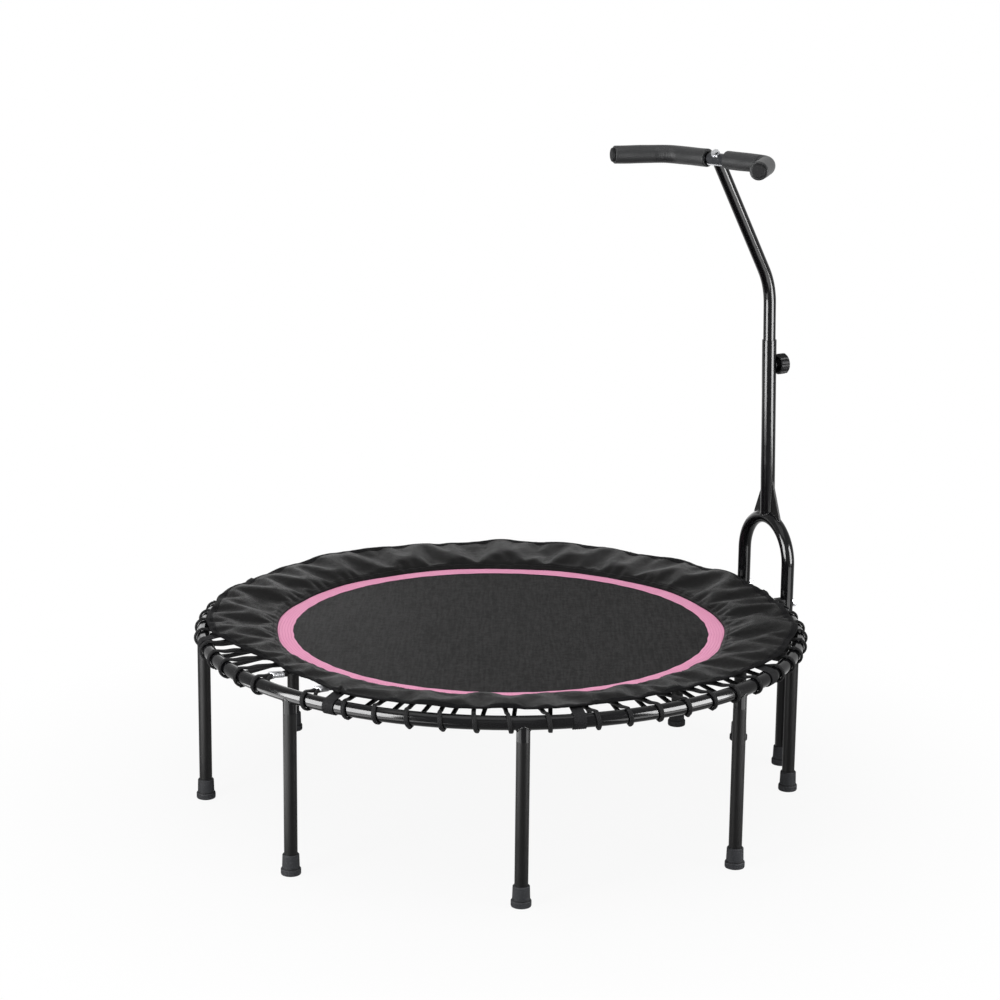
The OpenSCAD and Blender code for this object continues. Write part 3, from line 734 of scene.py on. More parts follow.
class Lacing:
    """The route of the two elastic cords between ring and mat."""

    def __init__(self):
        s = sizes()
        self.ring, self.high = s.ring_radius, s.ring_height
        self.cord = s.cord_radius
        self.hug = s.tube_radius + s.cord_radius + 0.0002
        self.loop_out = self.cord + 0.0018
        self.loop_r = MAT_RADIUS + self.loop_out + 0.0047
        self.loop_z = MAT_LOW.z + 0.68 * self.loop_out
        self.loop_half = float(arc_degrees(0.00575, self.loop_r))
        far = math.hypot(self.ring - self.loop_r, self.high - self.loop_z)
        way = 180 + math.degrees(math.atan2(self.high - self.loop_z, self.ring - self.loop_r))
        spread = math.degrees(math.acos(self.hug / far))
        self.top, self.end = way - spread, way + spread - 360
        self.run_start = self.loop_r + 0.006
        self.run_end = self.ring + self.hug * math.cos(math.radians(self.top))
        self.run_end_z = self.high + self.hug * math.sin(math.radians(self.top))
        room = LEG_STEP - STRAP_AFTER_LEG - 5.65
        bay = [4.4] + [STRAP_AFTER_LEG + 3.25 + j * room / 5 for j in range(6)]
        fork, mid = math.degrees(math.asin(FORK_HALF / FORK_REACH)), LEG_STEP / 2
        at_fork = [4.4, mid - fork - 2.2, mid - 3, mid + 3.4, mid + fork + 2.9, mid + fork + 7.8]
        self.wraps = [
            [leg_degrees(b) + o for b in (6, 7, 8) for o in bay] + [leg_degrees(9) + o for o in at_fork],
            [leg_degrees(b) + o for b in (2, 3, 4) for o in bay] + [leg_degrees(5) + o for o in bay[:6]],
        ]
        self.crimp_side = self.cord + 0.00035
        self.eye_out = self.ring - s.tube_radius - 2 * self.cord - 0.0015
        self.crimp_long = 0.024
        self.crimp_r = self.eye_out - 0.002 - self.crimp_long / 2
        self.eye_in = self.crimp_r - self.crimp_long / 2 - 0.008

    def height(self, r):
        """Height of the cord's upper run at a distance from the middle."""
        rise, run = self.run_end_z - self.loop_z, self.run_end - self.run_start
        return self.loop_z + rise * (r - self.run_start) / run

    def lying(self, r):
        """Height at which cloth lies on the runs and the crimps."""
        return self.height(r) + self.cord + 0.0013

    def wrap(self, a, first, last, side, n=14):
        u = np.linspace(0, 1, n)
        e = np.radians(first + (last - first) * u)
        return polar(self.ring + self.hug * np.cos(e), a + arc_degrees((2 * u - 1) * side, self.ring),
                     self.high + self.hug * np.sin(e))

    def eye(self, a):
        """A cord's end: two strands through a crimp and once round the ring."""
        far = np.array([self.ring - self.eye_out, self.high - self.height(self.eye_out)])
        back = math.atan2(far[1], far[0]) + math.acos(min(1, self.hug / np.hypot(*far)))
        back = 180 + math.degrees(back) - 360

        def strand(r, side):
            return polar(r, a + arc_degrees(side * self.crimp_side, r), self.height(r))[None]

        return np.concatenate([
            strand(self.eye_in, -1), strand(self.eye_out, -1),
            self.wrap(a, self.top, back, self.crimp_side, 18),
            strand(self.eye_out, 1), strand(self.eye_in, 1),
        ])

    def through(self, m):
        """The cord's way through a loop of the mat."""
        near, past = self.loop_half + 0.2, self.loop_half + 0.7
        return polar([self.run_start, self.loop_r, self.loop_r, self.run_start],
                     [m - past, m - near, m + near, m + past], self.loop_z)

    def loops(self):
        """Angles of the mat's loops."""
        return [(w[i] + w[i + 1]) / 2 for w in self.wraps for i in range(len(w) - 1)]

    def route(self, wraps):
        parts = []
        for i, a in enumerate(wraps):
            if i in (0, len(wraps) - 1):
                parts.append(self.eye(a))
            else:
                parts.append(self.wrap(a, self.top, self.end, 0.0035))
            if i + 1 < len(wraps):
                parts.append(self.through((a + wraps[i + 1]) / 2))
        return curve_through(np.concatenate(parts), 0.0042)

    def pressed(self, points):
        """Points of a cord drawn in to the ring's tube, on which the cord flattens as it bears."""
        points = np.array(points)
        around = np.arctan2(points[:, 1] - MIDDLE_Y, points[:, 0])
        r = np.hypot(points[:, 0], points[:, 1] - MIDDLE_Y)
        out, up = r - self.ring, points[:, 2] - self.high
        off = np.hypot(out, up)
        above = off - (self.hug - self.cord)
        eased = np.clip((above - 2 * self.cord) / (5 * self.cord), 0, 1)
        share = (1 + above * (0.66 + 0.34 * eased * eased * (3 - 2 * eased) - 1) / off)
        return np.stack([(self.ring + out * share) * np.cos(around),
                         (self.ring + out * share) * np.sin(around) + MIDDLE_Y,
                         self.high + up * share], axis=1)

    def held_by_mat(self, r):
        return np.clip((self.run_end - r) / (self.run_end - self.loop_r), 0, 1)


class TRAMPOLINE_OT_cords(bpy.types.Operator):
    """Laces two braided elastic cords between the ring and the mat's loops"""

    bl_idname = "trampoline.cords"
    bl_label = "Elastic cords"

    def execute(self, context):
        lacing = Lacing()
        for letter, wraps in zip("ab", lacing.wraps):
            path = lacing.route(wraps)
            points, faces, run = tube(path, lacing.cord, 10)
            made = piece(f"elastic_cord_{letter}", [(lacing.pressed(points), faces, run)], braid(),
                         stands_for=[f"cord_{letter}"])
            follow_mat(made, lacing.held_by_mat)
        return {"FINISHED"}


class TRAMPOLINE_OT_crimps(bpy.types.Operator):
    """Makes the pressed metal sleeves that close the cords' end eyes"""

    bl_idname = "trampoline.crimps"
    bl_label = "Crimps"

    def execute(self, context):
        lacing, skins = Lacing(), []
        wide, thick = 2 * lacing.crimp_side + 2 * 0.0052, 2 * 0.0052
        along = np.linspace(-0.5, 0.5, 41)
        press = 1 - 0.1 * np.clip(np.cos(along * 2 * math.pi * 5), 0, 1) ** 2
        press *= np.where(abs(along) > 0.485, 0.93, 1)
        turn = np.linspace(0, 2 * math.pi, 40, endpoint=False)
        shape = np.stack([np.sign(np.cos(turn)) * abs(np.cos(turn)) ** 0.72 * wide / 2,
                          np.sign(np.sin(turn)) * abs(np.sin(turn)) ** 0.8 * thick / 2], axis=1)
        for wraps in lacing.wraps:
            for a in (wraps[0], wraps[-1]):
                r = lacing.crimp_r + along * lacing.crimp_long
                middle = polar(r, a, lacing.height(r))
                side = polar(1, a + 90, 0) - polar(0, 0, 0)
                up = np.cross(directions(middle)[0], side)
                up *= np.sign(up[2])
                outer = middle[:, None] + press[:, None, None] * (
                    shape[None, :, :1] * side + shape[None, :, 1:] * up)
                skins.append(skin(outer, caps=True, along=distances(middle)))
        made = piece("pressed_crimps", skins, pressed_zinc(), stands_for=["cord_crimps"])
        follow_mat(made, lacing.held_by_mat)
        return {"FINISHED"}


# The mat


class TRAMPOLINE_OT_mat(bpy.types.Operator):
    """Weaves the mat, a tight disc of cloth that the loops draw out at its edge"""

    bl_idname = "trampoline.mat"
    bl_label = "Mat"

    def execute(self, context):
        lacing = Lacing()
        segments = 416
        a = np.linspace(0, 360, segments, endpoint=False)
        pull = np.zeros(segments)
        for m in lacing.loops():
            away = (a - m + 180) % 360 - 180
            pull = np.maximum(pull, np.exp(-((away / 1.6) ** 2)))
        rings, ease = [], 1 - pull
        top, low, edge = MAT_HIGH.z, MAT_LOW.z, (MAT_HIGH.z - MAT_LOW.z) / 2
        for share in np.concatenate([np.linspace(0.004, 0.88, 26), np.linspace(0.9, 0.996, 14)]):
            near = max(0.0, (share - 0.82) / 0.18) ** 2
            rings.append(polar(share * MAT_RADIUS - near * 0.0012 * ease, a, top - near * 0.00035 * ease))
        for e in np.radians(np.linspace(60, -60, 5)):
            rings.append(polar(MAT_RADIUS - edge + edge * math.cos(e) - 0.0012 * ease, a,
                               (top + low) / 2 + edge * math.sin(e)))
        for share in np.linspace(0.996, 0.004, 24):
            rings.append(polar(share * MAT_RADIUS, a, low))
        made = piece("woven_mat", [skin(rings, caps=True)], mat_weave(), "mat", ["mat_panel"])
        return {"FINISHED"}


class TRAMPOLINE_OT_band(bpy.types.Operator):
    """Sews the coloured band on the mat's edge with rows of stitching"""

    bl_idname = "trampoline.band"
    bl_label = "Sewn band"

    def execute(self, context):
        s = sizes()
        rows, wide = s.stitch_rows, s.band_width
        segments = 512
        a = np.linspace(0, 360, segments, endpoint=False)
        inner, low, high = MAT_RADIUS - wide, MAT_HIGH.z, BAND_HIGH.z
        pitch = wide / rows
        profile = [(0.0, 0.0)]
        for x in np.linspace(0.0004, wide - 0.0004, 8 * rows + 1):
            hollow = abs(math.sin(math.pi * x / pitch)) ** 0.45
            profile.append((x, 0.00045 + 0.00055 * hollow))
        profile.append((wide, 0.0))
        wave = 0.0005 * np.sin(np.radians(a) * 37) + 0.0004 * np.sin(np.radians(a) * 61 + 1)
        rings = [
            polar(inner + x + wave * (1 - x / wide), a, low + (high - low) * h / 0.001) for x, h in profile
        ]
        rings.append(polar(MAT_RADIUS, a, low))
        span = 2 * math.pi * MAT_RADIUS
        across = [x / wide for x, h in profile] + [1.0, 0.0]
        band = skin(np.array(rings).transpose(1, 0, 2), around=True, loop=True,
                    along=np.linspace(0, span, segments + 1), across=across)
        made = piece("sewn_band", [band], band_web(), "mat", ["mat_band"])
        skins = []
        turn = np.linspace(0, 360, 721)
        for row in range(rows - 1):
            x = (row + 1) * pitch
            path = polar(inner + x, turn, low + 0.00052)
            skins += stitches(path, np.tile((0.0, 0, 1), (721, 1)), s.stitch, 0.0012, 0.00042)
        sew_on(piece("band_stitches", skins, band_thread(), "mat"), made)
        return {"FINISHED"}


class TRAMPOLINE_OT_loops(bpy.types.Operator):
    """Folds the webbing loops that hold the cord under the mat's edge"""

    bl_idname = "trampoline.loops"
    bl_label = "Mat loops"

    def execute(self, context):
        lacing, skins, threads = Lacing(), [], []
        web, half = 0.0013, 0.00575
        mid_r = lacing.loop_out - web / 2
        flat_z = MAT_LOW.z - 0.0007
        turns = np.radians(np.linspace(-128, 212, 26))
        outline = [(MAT_RADIUS - 0.022 + x, flat_z) for x in np.linspace(0, 0.021, 5)]
        outline += [
            (lacing.loop_r + mid_r * math.cos(t), lacing.loop_z + mid_r * math.sin(t)) for t in turns
        ]
        line = curve_through([(r, 0, z) for r, z in outline], 0.0022)
        ahead = directions(line)
        out = np.cross(ahead, (0, 1, 0))
        crown = 0.00012 * np.cos(np.linspace(-1, 1, 7) * math.pi * 3)
        under = flat_z - web / 2 - 0.0001
        for m in lacing.loops():
            skins.append(strip(line, out, m, half, web, crown, crown, 0.023))
            for r in (MAT_RADIUS - 0.019, MAT_RADIUS - 0.005):
                bar = polar(r, m + arc_degrees(np.linspace(-0.8, 0.8, 9) * half, r), under)
                threads += stitches(bar, np.tile((0.0, 0, -1), (9, 1)), 0.0018, 0.0004, 0.00035)
        made = piece("webbing_loops", skins, webbing(), "mat", ["mat_loops"])
        sew_on(piece("loop_stitches", threads, black_thread(), "mat"), made)
        return {"FINISHED"}


# The cover


# How far the cover's hem draws in, or hangs out, midway between two straps
BAY_DRAW = np.array((-0.008, -0.008, -0.009, -0.008, -0.008, 0.05, -0.006, 0.013))

# Outer tape and inner roll of the cover's hems: how far in and how far off the cloth each point lies
HEM_TAPE = (
    (0.0115, 0.0006), (0.0112, 0.0011), (0.008, 0.0013), (0.004, 0.0016), (0.0008, 0.0018), (-0.0014, 0.0014)
)
HEM_ROLL = (
    (0.0105, 0.0006), (0.0102, 0.0009), (0.008, 0.0011), (0.005, 0.0014), (0.0018, 0.0015), (-0.0012, 0.0012)
)


def slack(a):
    """Looseness of the cover cloth round the ring, from 0 to 1."""
    a = np.radians(a)
    return (2.2 + np.sin(8 * a + 0.349) + 0.7 * np.sin(13 * a + 1.222) + 0.5 * np.sin(21 * a + 2.269)) / 4.4


def bay_part(a):
    return (a - FIRST_LEG - STRAP_AFTER_LEG) / LEG_STEP


def free(a):
    """How free the cloth is: 0 at a strap and 1 midway to the next."""
    return abs(np.sin(np.pi * bay_part(a)))


def hem_radius(a):
    s = sizes()
    out = s.ring_radius - s.tube_radius - s.cover_gap
    wave = 0.004 * np.sin(np.radians(19 * a + 70)) * free(a)
    return out + wave - BAY_DRAW[np.floor(bay_part(a) + 0.001).astype(int) % 8] * free(a) ** 0.75


def hem_lift(a):
    """How far the slack hem stands off the cords between two straps."""
    return 0.002 * (1 + np.sin(np.radians(26 * a + 30))) * free(a)


def far_lift(a):
    """How far the cover's outer part stands up over the wraps behind the mat."""
    return 0.0012 * np.clip(np.cos(np.radians(a - 150)) + 0.25, 0, 1) ** 0.6


def fold_share(a):
    """Share of the folds' height: the cloth lies flatter at the ring's near and far sides."""
    near, far = np.cos(np.radians(a + 35)), np.cos(np.radians(a - 145))
    return 1 - 0.6 * np.clip(near, 0, 1) - 0.45 * np.clip(far, 0, 1)


def near_crest(a):
    """How far the slack cloth stands up off the cords at the ring's near side."""
    return 0.0075 * np.clip(np.cos(np.radians(a + 27)), 0, 1) ** 2 * slack(a + 5)


def cover_rows(a, lacing, rows):
    """Points of the cover cloth from its inner hem to its outer one, puffed up over the lacing."""
    fold, out, loose = sizes().fold * fold_share(a), hem_radius(a), free(a)
    crest = near_crest(a)
    near = lacing.loop_r + 0.004
    low = lacing.loop_z + lacing.loop_out + 0.0007
    wave = np.sin(np.radians(11 * a + 40)) * slack(a)
    second, third = near + 0.4 * (out - near), near + 0.75 * (out - near)
    knots = np.stack([
        polar(MAT_RADIUS - 0.0052 + 0.0034 * wave, a, BAND_HIGH.z + 0.0009 + 0.03 * fold * slack(a + 15)),
        polar(near, a, low + fold * (0.08 + 0.3 * slack(a + 25))),
        polar(second, a, lacing.lying(second) + fold * (0.15 + 0.55 * slack(a)) + crest),
        polar(third, a, lacing.lying(third) + fold * (0.15 + 0.6 * slack(a + 9)) * (0.4 + 0.6 * loose)
              + far_lift(a) + 0.4 * crest),
        polar(out, a, lacing.lying(out) + hem_lift(a) + far_lift(a)),
    ])
    return np.stack([spread(knots[:, i], rows) for i in range(len(a))], axis=1)


def spread(knots, rows):
    """A smooth line through a few knots, with a set number of points."""
    line = curve_through(knots, 0.001)
    far = distances(line)
    at = np.linspace(0, far[-1], rows)
    return np.stack([np.interp(at, far, line[:, k]) for k in range(3)], axis=1)


class TRAMPOLINE_OT_cover(bpy.types.Operator):
    """Lays the slack cover cloth over the lacing"""

    bl_idname = "trampoline.cover"
    bl_label = "Cover cloth"

    segments, rows, settle_frames = 640, 22, 26

    def execute(self, context):
        lacing = Lacing()
        a = FIRST_LEG + STRAP_AFTER_LEG + np.linspace(0, 360, self.segments, endpoint=False)
        grid = cover_rows(a, lacing, self.rows)
        grid = self.settle(context.scene, a, grid, lacing)
        self.sew(grid, lacing)
        return {"FINISHED"}

    def settle(self, scene, a, grid, lacing):
        """The cloth as it comes to rest, a little larger than the ring it covers, on cords and loops."""
        seeded = np.random.default_rng(5)
        across = np.linspace(0, 1, self.rows)[:, None]
        ripple = sum(
            np.sin(np.radians(a) * n + phase)[None] * np.sin(across * k + shift)
            for n, phase, k, shift in zip((7, 11, 16, 24, 33), seeded.uniform(0, 6, 5),
                                          (2.0, 3.5, 3.0, 4.0, 5.0), seeded.uniform(0, 6, 5))
        )
        s = sizes()
        low = BAND_HIGH.z - 0.0015
        bed = [(0.36, low), (MAT_RADIUS, low)]
        bed += [(lacing.loop_r - 0.003, lacing.loop_z + lacing.loop_out - 0.001)]
        runs = (lacing.run_start + 0.004, 0.5, lacing.run_end)
        bed += [(r, lacing.height(r) + lacing.cord) for r in runs]
        grid = grid.copy()
        grid[..., 2] += 0.0013 * fold_share(a) * ripple * np.sin(np.pi * across)
        under = np.interp(np.hypot(grid[..., 0], grid[..., 1] - MIDDLE_Y), *zip(*bed))
        grid[1:, :, 2] = np.maximum(grid, under[..., None] + 0.0026)[1:, :, 2]
        cloth = piece("cover_at_start", [skin(grid, loop=False)], coated_cloth(), closed=False)
        turn = np.linspace(0, 360, 240, endpoint=False)
        rests = [
            piece("rest_bed", [skin([polar(r, turn, z) for r, z in bed])], mat_weave(), closed=False),
            piece("rest_ring", [ring_tube(polar(s.ring_radius, turn, s.ring_height),
                                          s.tube_radius + 1.4 * lacing.cord, 14)], gloss_paint()),
        ]
        for rest in rests:
            rest.modifiers.new("rest", "COLLISION")
            rest.collision.thickness_outer = 0.001
            rest.collision.cloth_friction = 12
            rest.collision.use_culling = False
        held = cloth.vertex_groups.new(name="held")
        strapped = np.where(free(a) < 0.05)[0]
        last = (self.rows - 1) * self.segments
        held.add([int(k) for k in range(self.segments)], 1.0, "REPLACE")
        held.add([int(last + k) for k in range(self.segments)], 0.97, "REPLACE")
        held.add([int(last + k) for k in strapped], 1.0, "REPLACE")
        sim = cloth.modifiers.new("settle", "CLOTH")
        sim.settings.quality = 6
        sim.settings.mass = 0.12
        sim.settings.tension_stiffness = sim.settings.compression_stiffness = 12
        sim.settings.shear_stiffness = 4
        sim.settings.bending_stiffness = 40
        sim.settings.vertex_group_mass = held.name
        sim.settings.shrink_min = -0.02
        sim.settings.effector_weights.gravity = 0.02
        sim.collision_settings.distance_min = 0.001
        sim.collision_settings.collision_quality = 3
        sim.point_cache.frame_start, sim.point_cache.frame_end = 1, 60
        for at in range(1, self.settle_frames + 1):
            scene.frame_set(at)
        shape = cloth.evaluated_get(bpy.context.evaluated_depsgraph_get())
        co = np.zeros(len(shape.data.vertices) * 3, np.float32)
        shape.data.vertices.foreach_get("co", co)
        rested = co.reshape(grid.shape).astype(float)
        scene.frame_set(1)
        for made in (cloth, *rests):
            bpy.data.objects.remove(made)
        return rested

    def sew(self, grid, lacing):
        """The cloth's two faces, a bound outer hem and a rolled inner one."""
        s = sizes()
        thick = s.cover_cloth / 2
        out = normals(grid)
        faces = np.concatenate([grid + out * thick, (grid - out * thick)[::-1]])
        made = piece("cover_cloth", [skin(faces.transpose(1, 0, 2), loop=True)], coated_cloth(),
                     stands_for=["cover"])
        tape = wrapped_edge(grid[::-1], out[::-1], HEM_TAPE)
        binding = piece("cover_binding", [tape], edge_tape())
        roll = wrapped_edge(grid, out, HEM_ROLL, 0.0008)
        rolled = piece("cover_inner_hem", [roll], coated_cloth())
        seams = []
        for edge, way, inset in ((grid[::-1], out[::-1], 0.0098), (grid, out, 0.0092)):
            line, up = inset_line(edge, way, inset)
            line = np.concatenate([line, line[:1]]) + np.concatenate([up, up[:1]]) * 0.0012
            seams += stitches(line, np.concatenate([up, up[:1]]), 0.0036, 0.0012, 0.00042)
        seam = piece("cover_stitches", seams, black_thread())
        for part in (made, binding, rolled, seam):
            follow_mat(part, lacing.held_by_mat)


def normals(grid):
    """Upward directions square to a cloth's grid of rows and closed rings."""
    along = np.roll(grid, -1, 1) - np.roll(grid, 1, 1)
    across = np.gradient(grid, axis=0)
    out = np.cross(along, across)
    out /= np.linalg.norm(out, axis=-1)[..., None]
    return out * np.sign(out[..., 2].mean())


def inset_line(grid, out, inset):
    """The line that lies a distance in from a cloth's first row, and its directions."""
    step = np.linalg.norm(np.diff(grid, axis=0), axis=-1)
    far = np.concatenate([np.zeros((1, grid.shape[1])), np.cumsum(step, axis=0)])
    low = np.clip((far <= inset).sum(0) - 1, 0, len(grid) - 2)
    k = np.arange(grid.shape[1])
    share = ((inset - far[low, k]) / (far[low + 1, k] - far[low, k]))[:, None]
    return (grid[low, k] * (1 - share) + grid[low + 1, k] * share,
            out[low, k] * (1 - share) + out[low + 1, k] * share)


def wrapped_edge(grid, out, profile, most_below=1.0):
    """A tape folded over a cloth's first row: how far in and how far out its points lie."""
    rings = []
    for side in (1, -1):
        for inset, lift in profile[::side]:
            line, up = inset_line(grid, out, max(inset, 0.0))
            if inset < 0:
                past = grid[0] - grid[1]
                line = line + past / np.linalg.norm(past, axis=1)[:, None] * -inset
                lift = lift * 0.4
            rings.append(line + up * (lift if side > 0 else -min(lift, most_below)))
    far = distances(np.concatenate([grid[0], grid[0][:1]]))
    across = np.linspace(0, 0.02, len(rings) + 1)
    return skin(np.array(rings).transpose(1, 0, 2), loop=True, along=far, across=across)


# Straps, grips and welds


class TRAMPOLINE_OT_straps(bpy.types.Operator):
    """Wraps the ribbed webbing straps round the ring and sews them to the cover's hem"""

    bl_idname = "trampoline.straps"
    bl_label = "Straps"

    def execute(self, context):
        s, lacing, skins, threads = sizes(), Lacing(), [], []
        web = 0.0018
        hug = s.tube_radius + 0.0002 + web / 2
        hem = s.ring_radius - s.tube_radius - s.cover_gap
        under = 0.0003 + web / 2 + 0.0002
        flap = [(r, lacing.lying(r) - under) for r in (hem - 0.024, hem - 0.016, hem - 0.008)]
        turns = np.radians(np.linspace(96, -236, 40))
        outline = flap + [
            (s.ring_radius + hug * math.cos(t), s.ring_height + hug * math.sin(t)) for t in turns
        ]
        line = curve_through([(r, 0, z) for r, z in outline], 0.0025)
        out = np.cross(directions(line), (0, 1, 0))
        ribs = 0.00028 * np.cos(np.linspace(-1, 1, 25) * math.pi * 6)
        half = s.strap_width / 2
        for k in range(8):
            middle = leg_degrees(k) + STRAP_AFTER_LEG
            skins.append(strip(line, out, middle, half, web, ribs, 0 * ribs, 2 * s.strap_width))
            for r in (hem - 0.022, hem - 0.012):
                bar = polar(r, middle + arc_degrees(np.linspace(-0.85, 0.85, 15) * half, r),
                            lacing.lying(r) - under - web / 2 - 0.0002)
                threads += stitches(bar, np.tile((0.0, 0, -1), (15, 1)), 0.0022, 0.0006, 0.0004)
        made = piece("hold_down_straps", skins, webbing(), stands_for=["cover_straps"])
        thread = piece("strap_stitches", threads, black_thread())
        for part in (made, thread):
            follow_mat(part, lambda r: lacing.held_by_mat(r) * np.clip((hem - r) / 0.006, 0, 1))
        return {"FINISHED"}


def turn_x(degrees):
    return Matrix.Rotation(math.radians(degrees), 4, "X")


def bar_place():
    """The handlebar's own frame: X along the bar, level."""
    stem, swivel = 31.0, 18.0
    foot = Matrix.Translation((0, FORK_REACH + MIDDLE_Y, CROWN_HIGH)) @ turn_x(POST_LEAN)
    top = foot @ Matrix.Rotation(math.radians(swivel), 4, "Z") @ Matrix.Translation((0, 0, 0.462))
    return top @ turn_x(stem) @ Matrix.Translation((0, 0, 0.3)) @ turn_x(-stem - POST_LEAN)


class TRAMPOLINE_OT_grips(bpy.types.Operator):
    """Pushes the foam grips over the handlebar's arms"""

    bl_idname = "trampoline.grips"
    bl_label = "Foam grips"

    def execute(self, context):
        s, place = sizes(), np.array(bar_place())
        corner, bend_r, bend = 0.124, 0.06, math.radians(60)
        tangent = bend_r * math.tan(bend / 2)
        start, first = 0.023, corner - tangent
        turn = np.linspace(0, bend, 60)
        arc = np.stack([first + bend_r * np.sin(turn), bend_r * (np.cos(turn) - 1)], axis=1)
        way = np.array([math.cos(bend), -math.sin(bend)])
        tail = arc[-1] + np.linspace(0, 0.107 - tangent, 60)[1:, None] * way
        head = np.stack([np.linspace(start, first, 55)[:-1], np.zeros(54)], axis=1)
        flat = np.concatenate([head, arc, tail])
        for side, name in ((-1, "left"), (1, "right")):
            line = np.stack([flat[:, 0] * side, flat[:, 1], np.zeros(len(flat))], axis=1)
            path = even(line, 0.0013)
            far = distances(path)
            sides = 56
            around = np.linspace(0, 2 * math.pi, sides, endpoint=False)
            middle = first - start + bend_r * bend / 2
            inner = np.sin(around) * side
            crease = np.exp(-(((far - middle) / 0.022) ** 2))[:, None] * np.clip(inner + 0.25, 0, 1)[None]
            wrinkle = crease * (np.sin(far * 2 * math.pi / 0.0042)[:, None] * 0.0008 - 0.0005)
            seeded = np.random.default_rng(7 + side)
            soft = sum(0.00012 * np.sin(far[:, None] * k + around[None] * m + p)
                       for k, m, p in zip((41, 73, 118, 26), (1, 2, 3, 1), seeded.uniform(0, 6, 4)))
            end = np.minimum(far, far[-1] - far)
            rounding = 0.0014 * (1 - np.sqrt(np.clip(1 - (1 - np.clip(end / 0.0022, 0, 1)) ** 2, 0, 1)))
            radius = s.grip_radius - 0.00015 + wrinkle + soft - rounding[:, None]
            world = path @ place[:3, :3].T + place[:3, 3]
            up = place[:3, :3] @ np.array((0, 0, 1.0))
            outside = tube(world, radius, sides, caps=False, start=up)
            inside = tube(world, 0.0111, sides, caps=False, start=up)
            shape = (len(world), sides, 3)
            rings = np.concatenate([outside[0].reshape(shape), inside[0].reshape(shape)[::-1]])
            made = piece(f"foam_grip_{name}", [skin(rings, loop=True)], foam(),
                         "handle", [f"grip_{name}"])
        return {"FINISHED"}


class TRAMPOLINE_OT_welds(bpy.types.Operator):
    """Lays the weld beads where stubs and gussets meet their tubes"""

    bl_idname = "trampoline.welds"
    bl_label = "Weld beads"

    def execute(self, context):
        s, skins = sizes(), []
        leg = (LEG_HIGH.x - LEG_LOW.x) / 2
        turn = np.radians(np.linspace(0, 360, 97)[:-1])
        for k in range(8):
            a = leg_degrees(k)
            x, y = leg * np.cos(turn), leg * np.sin(turn)
            drop = np.sqrt(np.maximum(s.tube_radius**2 - x**2, 1e-9))
            path = polar(s.ring_radius + x, a + arc_degrees(y, s.ring_radius),
                         s.ring_height - drop - 0.0002)
            ripple = 0.0013 + 0.00022 * np.sin(turn * 24)
            skins.append(ring_tube(path, ripple, 8))
        piece("stub_welds", skins, gloss_paint(), "frame")
        piece("post_welds", self.post_beads(), gloss_paint(), "frame")
        return {"FINISHED"}

    def post_beads(self):
        """Beads round the post's foot, along its gussets and round the clamp's boss."""
        crown, lean = np.array((0, FORK_REACH + MIDDLE_Y, CROWN_HIGH)), math.radians(POST_LEAN)
        post, fork, arch, plate, cope = 0.014, 0.0125, FORK_HALF, 0.002, 0.006
        skins = []
        turn = np.radians(np.linspace(0, 360, 120))
        x, y = (post - 0.0003) * np.cos(turn), (post - 0.0003) * np.sin(turn)
        over = arch + np.sqrt(np.clip(fork**2 - y**2, 0, None))
        foot = np.stack([x, y, np.maximum(np.sqrt(over**2 - x**2) - arch, cope)], axis=1)
        skins.append(run_bead(crown + foot, 0.0017))
        for side in (-1, 1):
            for face in (-1, 1):
                z = np.linspace(0.013, 0.072, 40)
                y = face * plate + z * math.sin(lean)
                flat = np.full(40, face * plate)
                up = np.stack([side * np.sqrt(post**2 - y**2), flat, z], axis=1)
                t = np.linspace(math.asin(0.0145 / 0.0923), math.asin(0.0455 / 0.0923), 40)
                reach = arch + math.sqrt(fork**2 - plate**2)
                out = np.stack([side * reach * np.sin(t), flat, reach * np.cos(t) - arch], axis=1)
                skins += [run_bead(crown + up, 0.0013), run_bead(crown + out, 0.0013)]
        boss, height = 0.008, 0.304
        x, z = boss * np.cos(turn), height + boss * np.sin(turn)
        ring = np.stack([x, np.sqrt(post**2 - x**2), z], axis=1)
        level, rise = math.cos(lean), math.sin(lean)
        tilt = np.array([(1, 0, 0), (0, level, -rise), (0, rise, level)])
        skins.append(run_bead(crown + ring @ tilt.T, 0.0012))
        return skins


def run_bead(path, size):
    """A rippled weld bead along an open path."""
    line = even(np.asarray(path), 0.0006)
    ripple = 1 + 0.16 * np.sin(distances(line) * 2 * math.pi / 0.0034)
    return tube(line, size * ripple, 8, start=(0.3, 0.9, 0.2))


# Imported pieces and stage

PAINTED = {
    gloss_paint: ["ring_rear", "ring_front", "fork", "post_sleeve", "clamp_boss", "stem"],
    satin_paint: [f"leg_{k}" for k in range(1, 9)] + ["gusset_left", "gusset_right"],
    rubber: [f"foot_{k}" for k in range(1, 9)] + ["fork_foot_left", "fork_foot_right"],
    plated_steel: ["ring_spigot_1", "ring_spigot_2", "fork_bolt_left", "fork_bolt_right", "fork_nut_left",
                   "fork_nut_right", "knob_screw", "bar_cradle", "bar_bolt"],
    bright_bar: ["handlebar"],
    black_plastic: ["knob", "bar_plug_left", "bar_plug_right", "fork_spacer_left", "fork_spacer_right"],
    nylon: ["post_glide", "clamp_pad"],
}


class TRAMPOLINE_OT_paint(bpy.types.Operator):
    """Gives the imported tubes, feet and fasteners their finishes"""

    bl_idname = "trampoline.paint"
    bl_label = "Paint, rubber and steel"

    def execute(self, context):
        for make, nodes in PAINTED.items():
            for node in nodes:
                packed = frame["nodes"][node]
                if not packed.material_slots:
                    packed.data.materials.append(make())
                for slot in packed.material_slots:
                    slot.material = make()
        return {"FINISHED"}


